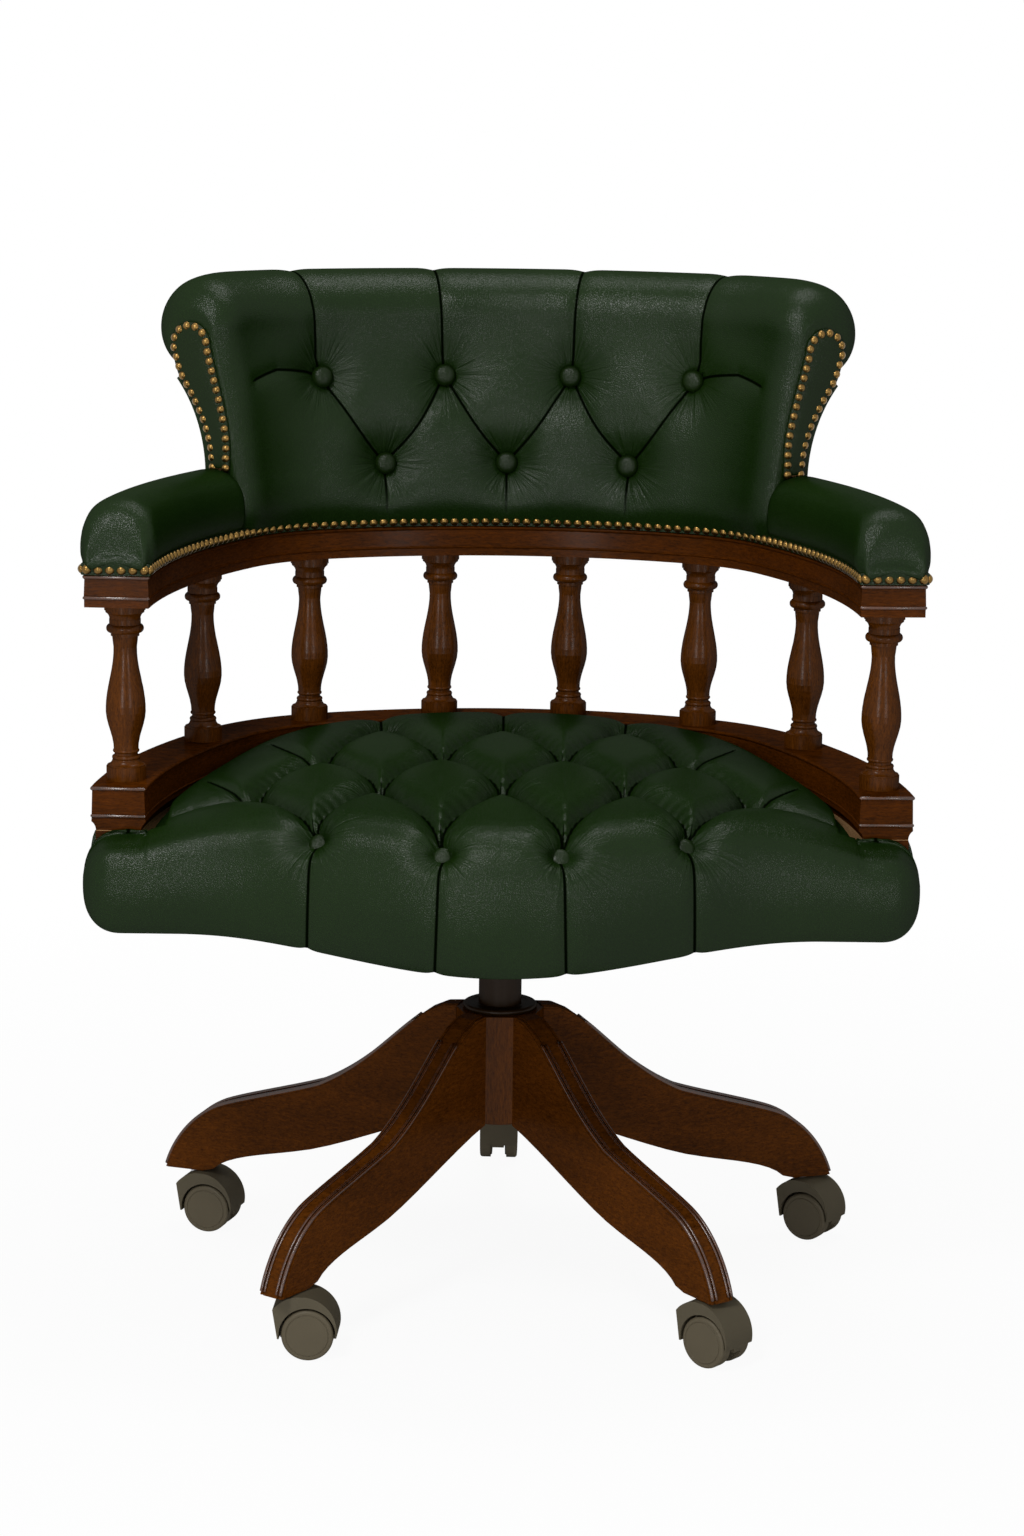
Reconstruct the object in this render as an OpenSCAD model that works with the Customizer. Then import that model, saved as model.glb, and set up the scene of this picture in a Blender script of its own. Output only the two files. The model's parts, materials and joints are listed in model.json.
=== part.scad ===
// Captain's swivel chair: five-leg base, gas lift, swivel and tilt, horseshoe arm rail on eight turned spindles,
// buttoned seat and buttoned scroll back. The origin is on the floor under the column, +Z is up, -Y is the front.

/* [Horseshoe plan] */
// Distance from the column to the rails' centre line at the back
rear_y = 187.5; // [170:0.5:205]
// Radius of the rails' centre line across the back
rear_r = 420; // [400:1:450]
// Turn of the centre line at the end of the back's arc, in degrees
rear_a = 25; // [23:0.5:27]
// Turn of the centre line at the end of a corner, in degrees
corner_a = 60.5; // [58:0.5:62]
// Radius of the rails' centre line along the arms
arm_r = 580; // [560:1:620]
// Turn of the centre line at the front end of an arm, in degrees
arm_a = 86.5; // [84:0.5:88]

/* [Rails] */
// Height of the lower hoop's top face
hoop_top = 469; // [460:1:480]
// Thickness of the lower hoop
hoop_t = 37; // [34:1:40]
// Width of the lower hoop
hoop_w = 47; // [44:1:50]
// Distance between the hoop and the arm rail
spindle_l = 151; // [140:1:165]
// Thickness of the arm rail
rail_t = 27; // [25:1:32]
// Width of the arm rail
rail_w = 56; // [52:1:58]
// Radius of the small edge beads on both rails
bead_r = 1.6; // [1.2:0.1:2]
// Diameter of the spindles' round tenons
tenon_d = 14; // [12:1:16]
// Length of the spindles' round tenons
tenon_l = 14; // [10:1:18]

/* [Spindles] */
// Places of the spindles along the rails' centre line from the middle of the back
spindle_s = [60, 184, 324, 506]; // [0:1:540]
// Diameter of the spindle's cap
cap_d = 34.5; // [31:0.5:36]
// Diameter of the spindle's upper bead
ring_d = 31.5; // [28:0.5:33]
// Least diameter of the spindle's neck
neck_d = 19.6; // [17:0.2:21]
// Greatest diameter of the spindle's belly
belly_d = 33.6; // [30:0.2:35]
// Diameter of the spindle's foot block
foot_d = 33.5; // [30:0.5:35]

/* [Seat] */
// Height of the seat board's underside
board_z = 358; // [352:1:362]
// Thickness of the seat board
board_t = 15; // [12:1:16]
// Width of the seat frame's side rails
frame_w = 38; // [34:1:42]
// Distance from the column to the seat's front edge at its middle
front_y = 282; // [270:1:295]
// Depth of the bow of the seat's front edge
front_bow = 81; // [60:1:90]
// Half width of the bow of the seat's front edge
front_bow_x = 270; // [240:1:290]
// Height of the apron's lower edge at the middle
apron_z = 336; // [330:1:345]
// Height of the apron's lower edge at the corners
corner_z = 350; // [345:1:356]
// Half width of the seat at its front corners
seat_half = 350; // [340:1:356]
// How far the seat's front corners stand out past the hoop
seat_over = 6; // [3:0.5:9]
// Height of the seat cushion's edge along the hoop
seat_edge_z = 457; // [450:1:464]
// Rise of the seat cushion's crown above its edge
seat_crown = 15; // [8:1:22]
// Half the distance between neighbouring buttons of a seat row
seat_half_pitch = 53.5; // [50:0.5:56]
// Distance between the seat's button rows
seat_row = 110; // [104:1:114]
// Distance from the column to the seat's front button row
seat_row_y = 232; // [225:1:238]
// Depth of the seat's tufts at the buttons
seat_tuft = 27; // [15:1:32]
// Diameter of the upholstery buttons
button_d = 19; // [16:0.5:21]

/* [Back] */
// Height of the top of the back's roll
back_top = 877; // [865:1:890]
// Radius of the back's roll
roll_r = 43; // [38:1:46]
// Radius of the back's roll at its two ends
roll_end_r = 30; // [26:1:34]
// Outward place of the roll's axis from the rails' centre line
roll_u = 28; // [22:1:32]
// Distance along the centre line from the middle to each end of the back
back_s = 304; // [296:1:308]
// Thickness of the back board
back_board_t = 10; // [8:0.5:12]
// Inner radius of the back board's outward flare
flare_r = 131; // [125:1:137]
// Height at which the back board starts to flare
flare_z = 705; // [700:1:712]
// Half the distance between neighbouring buttons of a back row
back_half_pitch = 58.5; // [55:0.5:61]
// Height of the back's lower button row
back_row_z = 707; // [702:1:712]
// Distance between the back's two button rows
back_row = 80; // [76:1:84]
// Depth of the back's tufts at the buttons
back_tuft = 15; // [8:1:18]
// Thickness of the leather panels on the back and its ends
panel_t = 5; // [3:0.5:6]

/* [Arm pads] */
// Height of the arm pads' top
pad_top = 709; // [700:1:715]
// Greatest width of the arm pads
pad_w = 64; // [60:1:66]

/* [Base] */
// Height of the hub's underside
hub_z = 139; // [130:1:145]
// Height of the hub's top
hub_top = 238; // [230:1:242]
// Radius of the hub to its faces
hub_r = 36.9; // [35:0.1:40]
// Thickness of the collar on the hub
collar_t = 5; // [4:0.5:7]
// Diameter of the collar on the hub
collar_d = 66; // [60:1:70]
// Thickness of a leg
leg_t = 24; // [22:0.5:26]
// Distance from a caster's stem to the tip of its leg
leg_toe = 27; // [24:1:32]
// Height of a leg's underside over its caster
leg_z = 57; // [55:1:60]
// Distance from the column to the casters' stems
caster_r = 293; // [288:1:298]
// Diameter of the dowels between the legs and the hub
dowel_d = 8; // [6:0.5:10]
// Length of the dowels between the legs and the hub
dowel_l = 30; // [24:1:34]

/* [Casters] */
// Diameter of a caster wheel
wheel_d = 44; // [42:0.5:45]
// Width of a caster wheel
wheel_w = 11.5; // [10:0.5:13]
// Thickness of the web between a caster's two wheels
web_t = 13; // [11:0.5:15]
// Distance from a caster's stem to its axle
trail = 15.6; // [14:0.2:17]
// Diameter of a caster's axle
axle_d = 6; // [5:0.5:8]
// Diameter of a caster's stem
stem_d = 11; // [10:0.5:11]
// Outer diameter of a caster's socket
socket_d = 15; // [14:0.5:16]
// Length of a caster's socket
socket_l = 30; // [26:1:31]
// Directions in which the five casters stand, in degrees
caster_turn = [-3, -42, -18, -34, 88]; // [-180:1:180]

/* [Column] */
// Outer diameter of the stand tube
tube_d = 38; // [36:0.5:40]
// Wall of the stand tube
tube_wall = 2; // [1.5:0.25:3]
// Height of the stand tube's top
tube_top = 298; // [290:1:299]
// Diameter of the gas cylinder
cylinder_d = 28; // [27:0.5:29]
// Wall of the gas cylinder
cylinder_wall = 2; // [1.5:0.25:2.5]
// Height of the gas cylinder's top at its lowest
cylinder_top = 332; // [330:1:333]
// Diameter of the piston rod
rod_d = 10; // [8:0.5:11]

/* [Tilt mechanism] */
// Distance from the column to the tilt axis, towards the front
pivot_y = 38; // [36:1:42]
// Height of the tilt axis
pivot_z = 342; // [340:0.5:343]
// Diameter of the tilt pin
pivot_d = 12; // [10:0.5:13]
// Half width between the housing's walls
housing_half = 34; // [33:0.5:36]
// Thickness of the pressed steel
steel_t = 3; // [2.5:0.25:3.5]
// Wire diameter of the tilt springs
wire_d = 5; // [4:0.5:5]
// Turns of each tilt spring
spring_turns = 3.5; // [2.5:1:3.5]
// Distance from the column to the height lever's pivot
lever_pivot_x = 30; // [29:0.5:30]
// Reach of the height lever to the side
lever_x = 285; // [240:1:290]
// Diameter of the tension knob
knob_d = 46; // [40:1:48]

/* [Fits] */
// Radial clearance of pins and shafts in their bores
fit = 0.05; // [0.03:0.01:0.08]
// Gap between pieces that only lie against each other
gap = 0.3; // [0.2:0.05:0.5]
// Gap round soft pieces
soft_gap = 1; // [0.6:0.1:1.4]
// Thickness of the glue lines in the bent rails
glue = 0.02; // [0.01:0.01:0.04]

/* [Hidden] */
$fn = 64;

wood = [0.24, 0.11, 0.045];
leather = [0.09, 0.19, 0.11];
plastic = [0.29, 0.28, 0.24];
dark_metal = [0.15, 0.11, 0.06];
steel = [0.6, 0.6, 0.62];

// Turns of the five legs from the front, seen from above, in the order of caster_turn
leg_az = [-36, 36, -108, 108, 180];
FRONT_LEFT = 0;
FRONT_RIGHT = 1;
SIDE_LEFT = 2;
SIDE_RIGHT = 3;
REAR = 4;

// Centres and lengths of the three arcs of the rails' centre line
rear_c = [0, rear_y - rear_r];
// The corner arcs take the radius that brings the hoop's ends to the seat's front corners
corner_r = (seat_half - seat_over - rear_r * sin(rear_a) + arm_r * sin(corner_a)
    - (arm_r + hoop_w / 2) * sin(arm_a)) / (sin(corner_a) - sin(rear_a));
corner_c = rear_c + (rear_r - corner_r) * [sin(rear_a), cos(rear_a)];
arm_c = corner_c + (corner_r - arm_r) * [sin(corner_a), cos(corner_a)];
deg = 180 / PI;
rear_len = rear_r * rear_a / deg;
corner_len = corner_r * (corner_a - rear_a) / deg;
corner_end = rear_len + corner_len;
rail_end = corner_end + arm_r * (arm_a - corner_a) / deg;

// Turn of the centre line at the distance s from the middle of the back
function heading(s) = s <= rear_len ? s / rear_r * deg
    : s <= corner_end ? rear_a + (s - rear_len) / corner_r * deg
    : corner_a + (s - corner_end) / arm_r * deg;

// Point at the distance s along the right half, u outward from the centre line
function rail_point(s, u) =
    let (h = heading(s), n = [sin(h), cos(h)])
    s <= rear_len ? rear_c + (rear_r + u) * n
    : s <= corner_end ? corner_c + (corner_r + u) * n
    : arm_c + (arm_r + u) * n;

// The same for both halves, where a negative s is on the left
function rail_point2(s, u) = let (p = rail_point(abs(s), u)) [s < 0 ? -p[0] : p[0], p[1]];

// Sweeps a section along the rails' centre line up to the turn h_end on both sides, in five pieces that are
// butted and glued. The section's x is outward from the centre line and its y is the height.
module along_rail(h_end) {
    arc_piece(rear_c, rear_r, -rear_a, rear_a) children();
    both_sides() {
        arc_piece(corner_c, corner_r, rear_a, corner_a) children();
        arc_piece(arm_c, arm_r, corner_a, h_end) children();
    }
}

// One arc of such a sweep between two turns of the centre line, short of both by half a glue line
module arc_piece(centre, r, h0, h1) {
    half_glue = glue / 2 / r * deg;
    translate(centre) rotate(90 - h1 + half_glue)
        rotate_extrude(angle = h1 - h0 - 2 * half_glue) translate([r, 0]) children();
}

// A place on the rails' centre line with its x outward and its y backwards along the line
module at_rail(s) {
    h = heading(s);
    translate(rail_point(s, 0)) rotate(90 - h) children();
}

module both_sides() {
    for (side = [0, 1]) mirror([side, 0, 0]) children();
}

function bezier(p, t) =
    pow(1 - t, 3) * p[0] + 3 * pow(1 - t, 2) * t * p[1] + 3 * (1 - t) * t * t * p[2] + pow(t, 3) * p[3];
function bezier_slope(p, t) =
    pow(1 - t, 2) * (p[1] - p[0]) + 2 * (1 - t) * t * (p[2] - p[1]) + t * t * (p[3] - p[2]);

// A closed skin over rings of points, where each ring has n points and the ends are flat. A ring runs clockwise
// as seen from the last one. Each four-sided patch is split along the diagonal that lies deeper.
module skin(rings) {
    n = len(rings[0]);
    m = len(rings);
    points = [for (r = rings) each r];
    sides = [for (i = [0 : m - 2], j = [0 : n - 1])
        let (k = (j + 1) % n, a = i * n + j, b = i * n + k, c = (i + 1) * n + k, d = (i + 1) * n + j)
        let (inward = cross(points[c] - points[a], points[d] - points[b]))
        each (points[a] + points[c] - points[b] - points[d]) * inward > 0 ? [[a, b, c], [a, c, d]]
            : [[a, b, d], [b, c, d]]];
    first = [for (j = [n - 1 : -1 : 0]) j];
    last = [for (j = [0 : n - 1]) (m - 1) * n + j];
    polyhedron(points = points, faces = concat([first], sides, [last]), convexity = 6);
}

// The base

leg_r = caster_r + leg_toe;
leg_steps = 8;

// Point of a leg's side view: x as a share of the way from the hub to the foot, y as one from the foot's height
// to the hub's top
foot_r = leg_r - 57;
function leg_point(x, y) = [hub_r + x * (foot_r - hub_r), leg_z + y * (hub_top - leg_z)];
leg_foot = [foot_r, leg_z + 65];
leg_waist = leg_point(0.584, 0.519);
leg_belly = leg_point(0.69, 0.155);
leg_heel = [leg_r - 48, leg_z + 3];
leg_top = [
    [[hub_r, hub_top + 1], [hub_r + 37, hub_top + 5], leg_point(0.297, 0.691), leg_waist],
    [leg_waist, leg_point(0.699, 0.467), leg_point(0.889, 0.409), leg_foot],
    [leg_foot, [leg_r - 30, leg_z + 55], [leg_r - 8, leg_z + 29], [leg_r, leg_z]],
];
leg_bottom = [
    [leg_heel, leg_point(0.978, 0.094), leg_point(0.818, 0.119), leg_belly],
    [leg_belly, leg_point(0.5, 0.199), leg_point(0.213, 0.381), [hub_r, hub_z]],
];

// Side view of a leg, with its top edge lowered by inset along the curve's normal
function leg_outline(inset) = concat(
    [for (c = leg_top, i = [0 : leg_steps - 1]) leg_edge(c, i / leg_steps, inset)],
    [leg_edge(leg_top[2], 1, inset), [leg_r - 37, leg_z]],
    [for (c = leg_bottom, i = [0 : leg_steps - 1]) bezier(c, i / leg_steps)],
    [[hub_r, hub_z]]
);
function leg_edge(c, t, inset) =
    let (p = bezier(c, t), d = bezier_slope(c, t), n = [-d[1], d[0]] / norm(d), q = p - inset * n)
    [max(q[0], hub_r), max(q[1], leg_z)];

module leg_slice(inset, from, to) {
    rotate([90, 0, 90]) translate([0, 0, from]) linear_extrude(to - from) mirror([1, 0])
        polygon(leg_outline(inset));
}

// Half widths of the steps that make the double bead along a leg's upper edges
bead_out = leg_t / 2 - 0.8;
bead_in = bead_out - 2.5;
crown_half = bead_in - 1.2;

module leg(i) {
    color(wood) rotate([0, 0, leg_az[i]]) difference() {
        union() {
            leg_slice(2.4, -leg_t / 2, leg_t / 2);
            leg_slice(1.6, -bead_out, bead_out);
            leg_slice(0, -crown_half, crown_half);
            for (side = [-1, 1])
                leg_slice(0.7, side * (bead_in + bead_out) / 2 - 1.25, side * (bead_in + bead_out) / 2 + 1.25);
        }
        dowels(fit);
        translate([0, -caster_r, leg_z - 1]) cylinder(d = socket_d + 2 * fit, h = socket_l + 1.5);
    }
}

// Two dowels of one leg, which lie along its length
dowel_z = [hub_z + 30, hub_z + 72];
module dowels(extra) {
    for (z = dowel_z)
        translate([0, -hub_r + dowel_l / 2, z]) rotate([90, 0, 0])
            cylinder(d = dowel_d + 2 * extra, h = dowel_l + 2 * extra);
}

module hub_post() {
    chamfer = 3;
    circum_r = hub_r / cos(18);
    color(wood) difference() {
        translate([0, 0, hub_z]) intersection() {
            cylinder(r = circum_r, h = hub_top - hub_z, $fn = 10);
            union() {
                translate([0, 0, chamfer]) cylinder(r = circum_r + 1, h = hub_top - hub_z - chamfer);
                cylinder(r1 = hub_r - chamfer / 2, r2 = circum_r + 1, h = chamfer + 0.01);
            }
        }
        translate([0, 0, hub_z - 1]) cylinder(d = tube_d + 2 * fit, h = hub_top - hub_z + 2);
        for (a = leg_az) rotate([0, 0, a]) dowels(fit);
    }
}

module leg_dowels() {
    color([0.6, 0.42, 0.25]) for (a = leg_az) rotate([0, 0, a]) dowels(0);
}

module hub_collar() {
    edge = collar_t / 2;
    color(dark_metal) translate([0, 0, hub_top]) rotate_extrude() {
        difference() {
            union() {
                translate([tube_d / 2 + fit, 0]) square([collar_d / 2 - edge - tube_d / 2 - fit, collar_t]);
                translate([collar_d / 2 - edge, edge]) circle(edge);
            }
            translate([tube_d / 2 + fit + 4, collar_t + 6]) circle(6.6);
        }
    }
}

module caster_sockets() {
    flange_t = 1;
    color(steel) for (a = leg_az) rotate([0, 0, a]) translate([0, -caster_r, leg_z]) difference() {
        union() {
            cylinder(d = socket_d, h = socket_l);
            translate([0, 0, -flange_t]) cylinder(d = socket_d + 5, h = flange_t);
        }
        translate([0, 0, -flange_t - 1]) cylinder(d = stem_d + 2 * fit, h = socket_l - 1);
    }
}

// The column

tube_z = hub_z + 2;
tube_floor = 5;
bearing_t = 6;
cylinder_z = tube_z + tube_floor + bearing_t;
bush_l = 60;
bush_flange = 3;

module stand_tube() {
    color(dark_metal) translate([0, 0, tube_z]) difference() {
        cylinder(d = tube_d, h = tube_top - tube_z);
        translate([0, 0, tube_floor]) cylinder(d = tube_d - 2 * tube_wall, h = tube_top);
        translate([0, 0, -1]) cylinder(d = rod_d + 2 * fit, h = tube_floor + 2);
    }
}

module column_bush() {
    color([0.1, 0.1, 0.1]) translate([0, 0, tube_top - bush_l]) difference() {
        union() {
            cylinder(d = tube_d - 2 * tube_wall - 2 * fit, h = bush_l + bush_flange);
            translate([0, 0, bush_l]) cylinder(d = tube_d, h = bush_flange);
        }
        translate([0, 0, -1]) cylinder(d = cylinder_d + 2 * fit, h = bush_l + bush_flange + 2);
    }
}

module thrust_bearing() {
    race_t = 1.6;
    ball_r = (bearing_t - 2 * race_t - 2 * fit) / 2;
    track_r = 9.2;
    color(steel) translate([0, 0, tube_z + tube_floor]) difference() {
        union() {
            for (z = [0, bearing_t - race_t - fit]) translate([0, 0, z]) cylinder(d = 25, h = race_t);
            translate([0, 0, race_t]) difference() {
                cylinder(r = track_r + ball_r, h = 2 * ball_r);
                translate([0, 0, -1]) cylinder(r = track_r - ball_r, h = bearing_t);
            }
        }
        translate([0, 0, -1]) cylinder(d = rod_d + 2 * fit, h = bearing_t + 2);
    }
}

piston_z = cylinder_z + 98;
piston_t = 8;

module piston_rod() {
    clip_t = 1.2;
    color(steel) {
        translate([0, 0, tube_z - clip_t - 0.5]) cylinder(d = rod_d, h = piston_z - tube_z + clip_t + 1);
        translate([0, 0, tube_z - clip_t]) cylinder(d = rod_d + 7, h = clip_t);
        translate([0, 0, piston_z]) cylinder(d = cylinder_d - 2 * cylinder_wall - 2 * fit, h = piston_t);
    }
}

taper_l = 32;
taper_drop = 1;
cylinder_cap = 14;
valve_d = 6;

module gas_cylinder() {
    gland = 6;
    color([0.08, 0.08, 0.08]) difference() {
        rotate_extrude() polygon([
            [0, cylinder_z], [cylinder_d / 2 - 1, cylinder_z], [cylinder_d / 2, cylinder_z + 1],
            [cylinder_d / 2, cylinder_top - taper_l], [cylinder_d / 2 - taper_drop, cylinder_top],
            [0, cylinder_top],
        ]);
        translate([0, 0, cylinder_z + gland])
            cylinder(d = cylinder_d - 2 * cylinder_wall, h = cylinder_top - cylinder_cap - cylinder_z - gland);
        translate([0, 0, cylinder_z - 1]) cylinder(d = rod_d + 2 * fit, h = gland + 2);
        translate([0, 0, cylinder_top - cylinder_cap - 1]) cylinder(d = valve_d + 2 * fit, h = cylinder_cap + 2);
    }
}

button_lift = 2.4;
valve_head = 3;
lever_z = cylinder_top + button_lift + valve_head + gap;

module release_button() {
    color([0.7, 0.15, 0.1]) {
        translate([0, 0, cylinder_top - cylinder_cap + 3])
            cylinder(d = valve_d, h = cylinder_cap - 3 + button_lift + 0.5);
        translate([0, 0, cylinder_top + button_lift]) cylinder(d = 10, h = valve_head);
    }
}

// The casters

wheel_z = wheel_d / 2;
hood_gap = 2;
hood_top = leg_z - 1 - gap;
hood_half = web_t / 2 + wheel_w - 0.3;
wheel_gap = 0.8;

// Side view of the hood over a caster's wheels: x is the trail, y is the height
module hood_outline() {
    difference() {
        intersection() {
            translate([trail - 5.1, wheel_z + 4]) circle(30);
            polygon([
                [trail - 25.2, wheel_z - 3.5], [-14.4, hood_top - 7], [-12, hood_top],
                [60, hood_top], [60, wheel_z - 1],
            ]);
        }
        translate([trail, wheel_z]) circle(wheel_d / 2 + hood_gap);
    }
}

// Side view of the web between the wheels, from the hood down to the axle's boss
module web_outline() {
    intersection() {
        union() {
            translate([trail, wheel_z]) circle(wheel_d / 2 + hood_gap + 0.5);
            translate([trail - 25.2, wheel_z]) square([25.2, hood_top - wheel_z]);
        }
        intersection() {
            translate([trail - 5.1, wheel_z + 4]) circle(30);
            polygon([[trail - 25.2, wheel_z - 6], [-14.4, hood_top - 7], [-12, hood_top],
                [60, hood_top], [60, wheel_z - 6]]);
        }
    }
    translate([trail, wheel_z]) circle(9);
}

module at_caster(i) {
    rotate([0, 0, leg_az[i]]) translate([0, -caster_r, 0]) rotate([0, 0, caster_turn[i] - leg_az[i]]) children();
}

module caster_housing(i) {
    stem_hole_z = 30;
    color(plastic) at_caster(i) difference() {
        union() {
            rotate([90, 0, 0]) linear_extrude(2 * hood_half, center = true) hood_outline();
            rotate([90, 0, 0]) linear_extrude(web_t - 2 * wheel_gap, center = true) web_outline();
        }
        translate([0, 0, stem_hole_z]) cylinder(d = stem_d + 2 * fit, h = 60);
        translate([trail, 0, wheel_z]) rotate([90, 0, 0])
            cylinder(d = axle_d + 2 * fit, h = web_t + 2, center = true);
    }
}

module caster_pins(i) {
    stem_z = 30 + 0.2;
    stem_top = leg_z + socket_l - 3.5;
    groove_z = leg_z + socket_l - 12;
    axle_l = web_t + 2 * wheel_w - 3;
    color(steel) at_caster(i) {
        difference() {
            translate([0, 0, stem_z]) cylinder(d = stem_d, h = stem_top - stem_z);
            translate([0, 0, groove_z]) difference() {
                cylinder(d = stem_d + 2, h = 2.5);
                translate([0, 0, -1]) cylinder(d = stem_d - 2, h = 5);
            }
        }
        translate([trail, 0, wheel_z]) rotate([90, 0, 0]) cylinder(d = axle_d, h = axle_l, center = true);
    }
}

// A wheel with a rounded tread, a shallow dish and a blind bore; side is -1 for the near and 1 for the far one
module caster_wheel(i, side) {
    edge = 2.5;
    bore_l = wheel_w - 1.5 + fit;
    color([0.27, 0.26, 0.22]) at_caster(i)
        translate([trail, side * web_t / 2, wheel_z]) rotate([-90 * side, 0, 0]) difference() {
            rotate_extrude() difference() {
                union() {
                    square([wheel_d / 2 - edge, wheel_w]);
                    translate([0, edge / 2]) square([wheel_d / 2, wheel_w - edge / 2 - edge]);
                    translate([wheel_d / 2 - edge, wheel_w - edge]) circle(edge);
                }
                translate([wheel_d / 2 - 4.2, wheel_w]) circle(0.5);
            }
            translate([0, 0, -1]) cylinder(d = axle_d + 2 * fit, h = bore_l + 1);
        }
}

// The tilt mechanism

boss_d = 38;
boss_z = 305;
floor_z = 322;
wall_top = 350;
wall_rear = 336;
housing_front = 118;
housing_rear = 24;
screw_y = 95;
pin_head = 2.5;
ear_x = housing_half + steel_t + 2;
plate_z = board_z - steel_t;
lever_pin_d = 5;
blade_t = 3.5;
lever_pivot_z = lever_z + blade_t / 2;

module tilt_housing() {
    taper_r = cylinder_d / 2 + fit;
    color([0.12, 0.12, 0.12]) difference() {
        union() {
            translate([-housing_half - steel_t, -housing_front, floor_z])
                cube([2 * (housing_half + steel_t), housing_front + housing_rear, steel_t]);
            for (side = [-1, 1])
                translate([side * (housing_half + steel_t / 2), 0, 0]) rotate([90, 0, 90])
                    linear_extrude(steel_t, center = true) polygon([
                        [-housing_front, floor_z], [housing_rear, floor_z], [housing_rear, wall_rear],
                        [6 - pivot_y + 10, wall_rear], [10 - pivot_y, wall_top], [-22 - pivot_y, wall_top],
                        [-housing_front, floor_z + 12],
                    ]);
            translate([0, 0, boss_z]) cylinder(d = boss_d, h = cylinder_top - boss_z);
            for (side = [-1, 1])
                translate([lever_pivot_x - 4, side * 5.8 - 1.5, floor_z])
                    cube([housing_half - lever_pivot_x + 5, 3, lever_pivot_z + 3.6 - floor_z]);
            translate([lever_pivot_x, 0, lever_pivot_z]) rotate([90, 0, 0])
                cylinder(d = lever_pin_d, h = 13, center = true);
        }
        translate([0, 0, cylinder_top - taper_l]) rotate_extrude() polygon([
            [0, -10], [taper_r, -10], [taper_r, 0],
            [taper_r - taper_drop, taper_l], [taper_r - taper_drop, taper_l + 5], [0, taper_l + 5],
        ]);
        translate([0, -pivot_y, pivot_z]) rotate([0, 90, 0])
            cylinder(d = pivot_d + 2 * fit, h = 3 * housing_half, center = true);
        translate([0, -screw_y, floor_z - 1]) cylinder(d = 10 + 2 * fit, h = steel_t + 2);
        translate([housing_half - 0.5, -4.3, lever_z - 8]) cube([steel_t + 1, 8.6, 30]);
    }
}

module tilt_pin() {
    half = ear_x + steel_t + gap;
    color(steel) translate([0, -pivot_y, pivot_z]) rotate([0, 90, 0]) {
        cylinder(d = pivot_d, h = 2 * half + 1, center = true);
        for (side = [-1, 1])
            translate([0, 0, side * (half + pin_head / 2)]) cylinder(d = pivot_d + 5, h = pin_head, center = true);
    }
}

// The route of a tilt spring: a leg from the front, its coil round the tilt pin and a second leg to the front
coil_r = (pivot_d + wire_d) / 2 + gap;
coil_x = 9;
coil_pitch = wire_d + gap;
coil_step = 45;
spring_route = concat(
    [[coil_x, -screw_y - 2, pivot_z - coil_r]],
    [for (a = [0 : coil_step : 360 * spring_turns])
        [coil_x + coil_pitch * a / 360, -pivot_y + coil_r * sin(a), pivot_z - coil_r * cos(a)]],
    [[coil_x + coil_pitch * spring_turns, -screw_y + 10, pivot_z + coil_r]]
);

// A round wire along a route, as rings of six points square to the way between each point's neighbours
module wire(route, d) {
    sides = 6;
    m = len(route);
    rings = [for (i = [0 : m - 1])
        let (
            t = route[min(i + 1, m - 1)] - route[max(i - 1, 0)],
            w = t / norm(t),
            u = cross([1, 0, 0], w),
            v = cross(u / norm(u), w)
        )
        [for (j = [0 : sides - 1]) route[i] + d / 2 * (cos(360 * j / sides) * u / norm(u) + sin(360 * j / sides) * v)]];
    skin(rings);
}

module tilt_springs() {
    color(steel) both_sides() wire(spring_route, wire_d);
}

module tension_knob() {
    knob_h = 16;
    knob_z = floor_z - gap - knob_h;
    cap_t = 3;
    cap_z = pivot_z - coil_r - wire_d / 2 - gap;
    lobes = 8;
    color([0.1, 0.1, 0.1]) translate([0, -screw_y, 0]) {
        translate([0, 0, knob_z]) difference() {
            cylinder(d = knob_d, h = knob_h);
            for (i = [0 : lobes - 1])
                rotate(i * 360 / lobes) translate([knob_d / 2 + 3, 0, -1]) cylinder(r = 5, h = knob_h + 2);
        }
        translate([0, 0, knob_z + knob_h - 1]) cylinder(d = 10, h = cap_z - knob_z - knob_h + 1);
        translate([0, 0, cap_z - cap_t]) cylinder(d = 24, h = cap_t);
    }
}

module height_lever() {
    blade_w = 7;
    rod = 8;
    grip = 14;
    bend = [110, lever_z - 14];
    tip = [lever_x, lever_z - 18];
    start = [40, lever_pivot_z];
    grip_from = bend + (tip - bend) * 0.62;
    color([0.15, 0.15, 0.15]) difference() {
        union() {
            translate([-6, -blade_w / 2, lever_z]) cube([start[0] + 6, blade_w, blade_t]);
            translate([lever_pivot_x, 0, lever_pivot_z]) rotate([90, 0, 0])
                cylinder(d = lever_pin_d + 4, h = blade_w, center = true);
            lever_rod(start - [3, 0], bend, rod);
            lever_rod(bend, tip, rod);
            translate([bend[0], 0, bend[1]]) sphere(d = rod + 1);
            lever_rod(grip_from, tip, grip);
        }
        translate([lever_pivot_x, 0, lever_pivot_z]) rotate([90, 0, 0])
            cylinder(d = lever_pin_d + 2 * fit, h = 20, center = true);
    }
}

module lever_rod(a, b, d) {
    v = b - a;
    translate([a[0], 0, a[1]]) rotate([0, atan2(v[0], v[1]), 0]) cylinder(d = d, h = norm(v));
}

// The seat's frame

plate_half = 85;
plate_front = 130;
plate_rear = 100;
bolt_inset = 15;
bolt_places = [for (side = [-1, 1], y = [bolt_inset + 10 - plate_front, plate_rear - bolt_inset - 5])
    [side * (plate_half - bolt_inset), y]];
bolt_d = 6;

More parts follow.
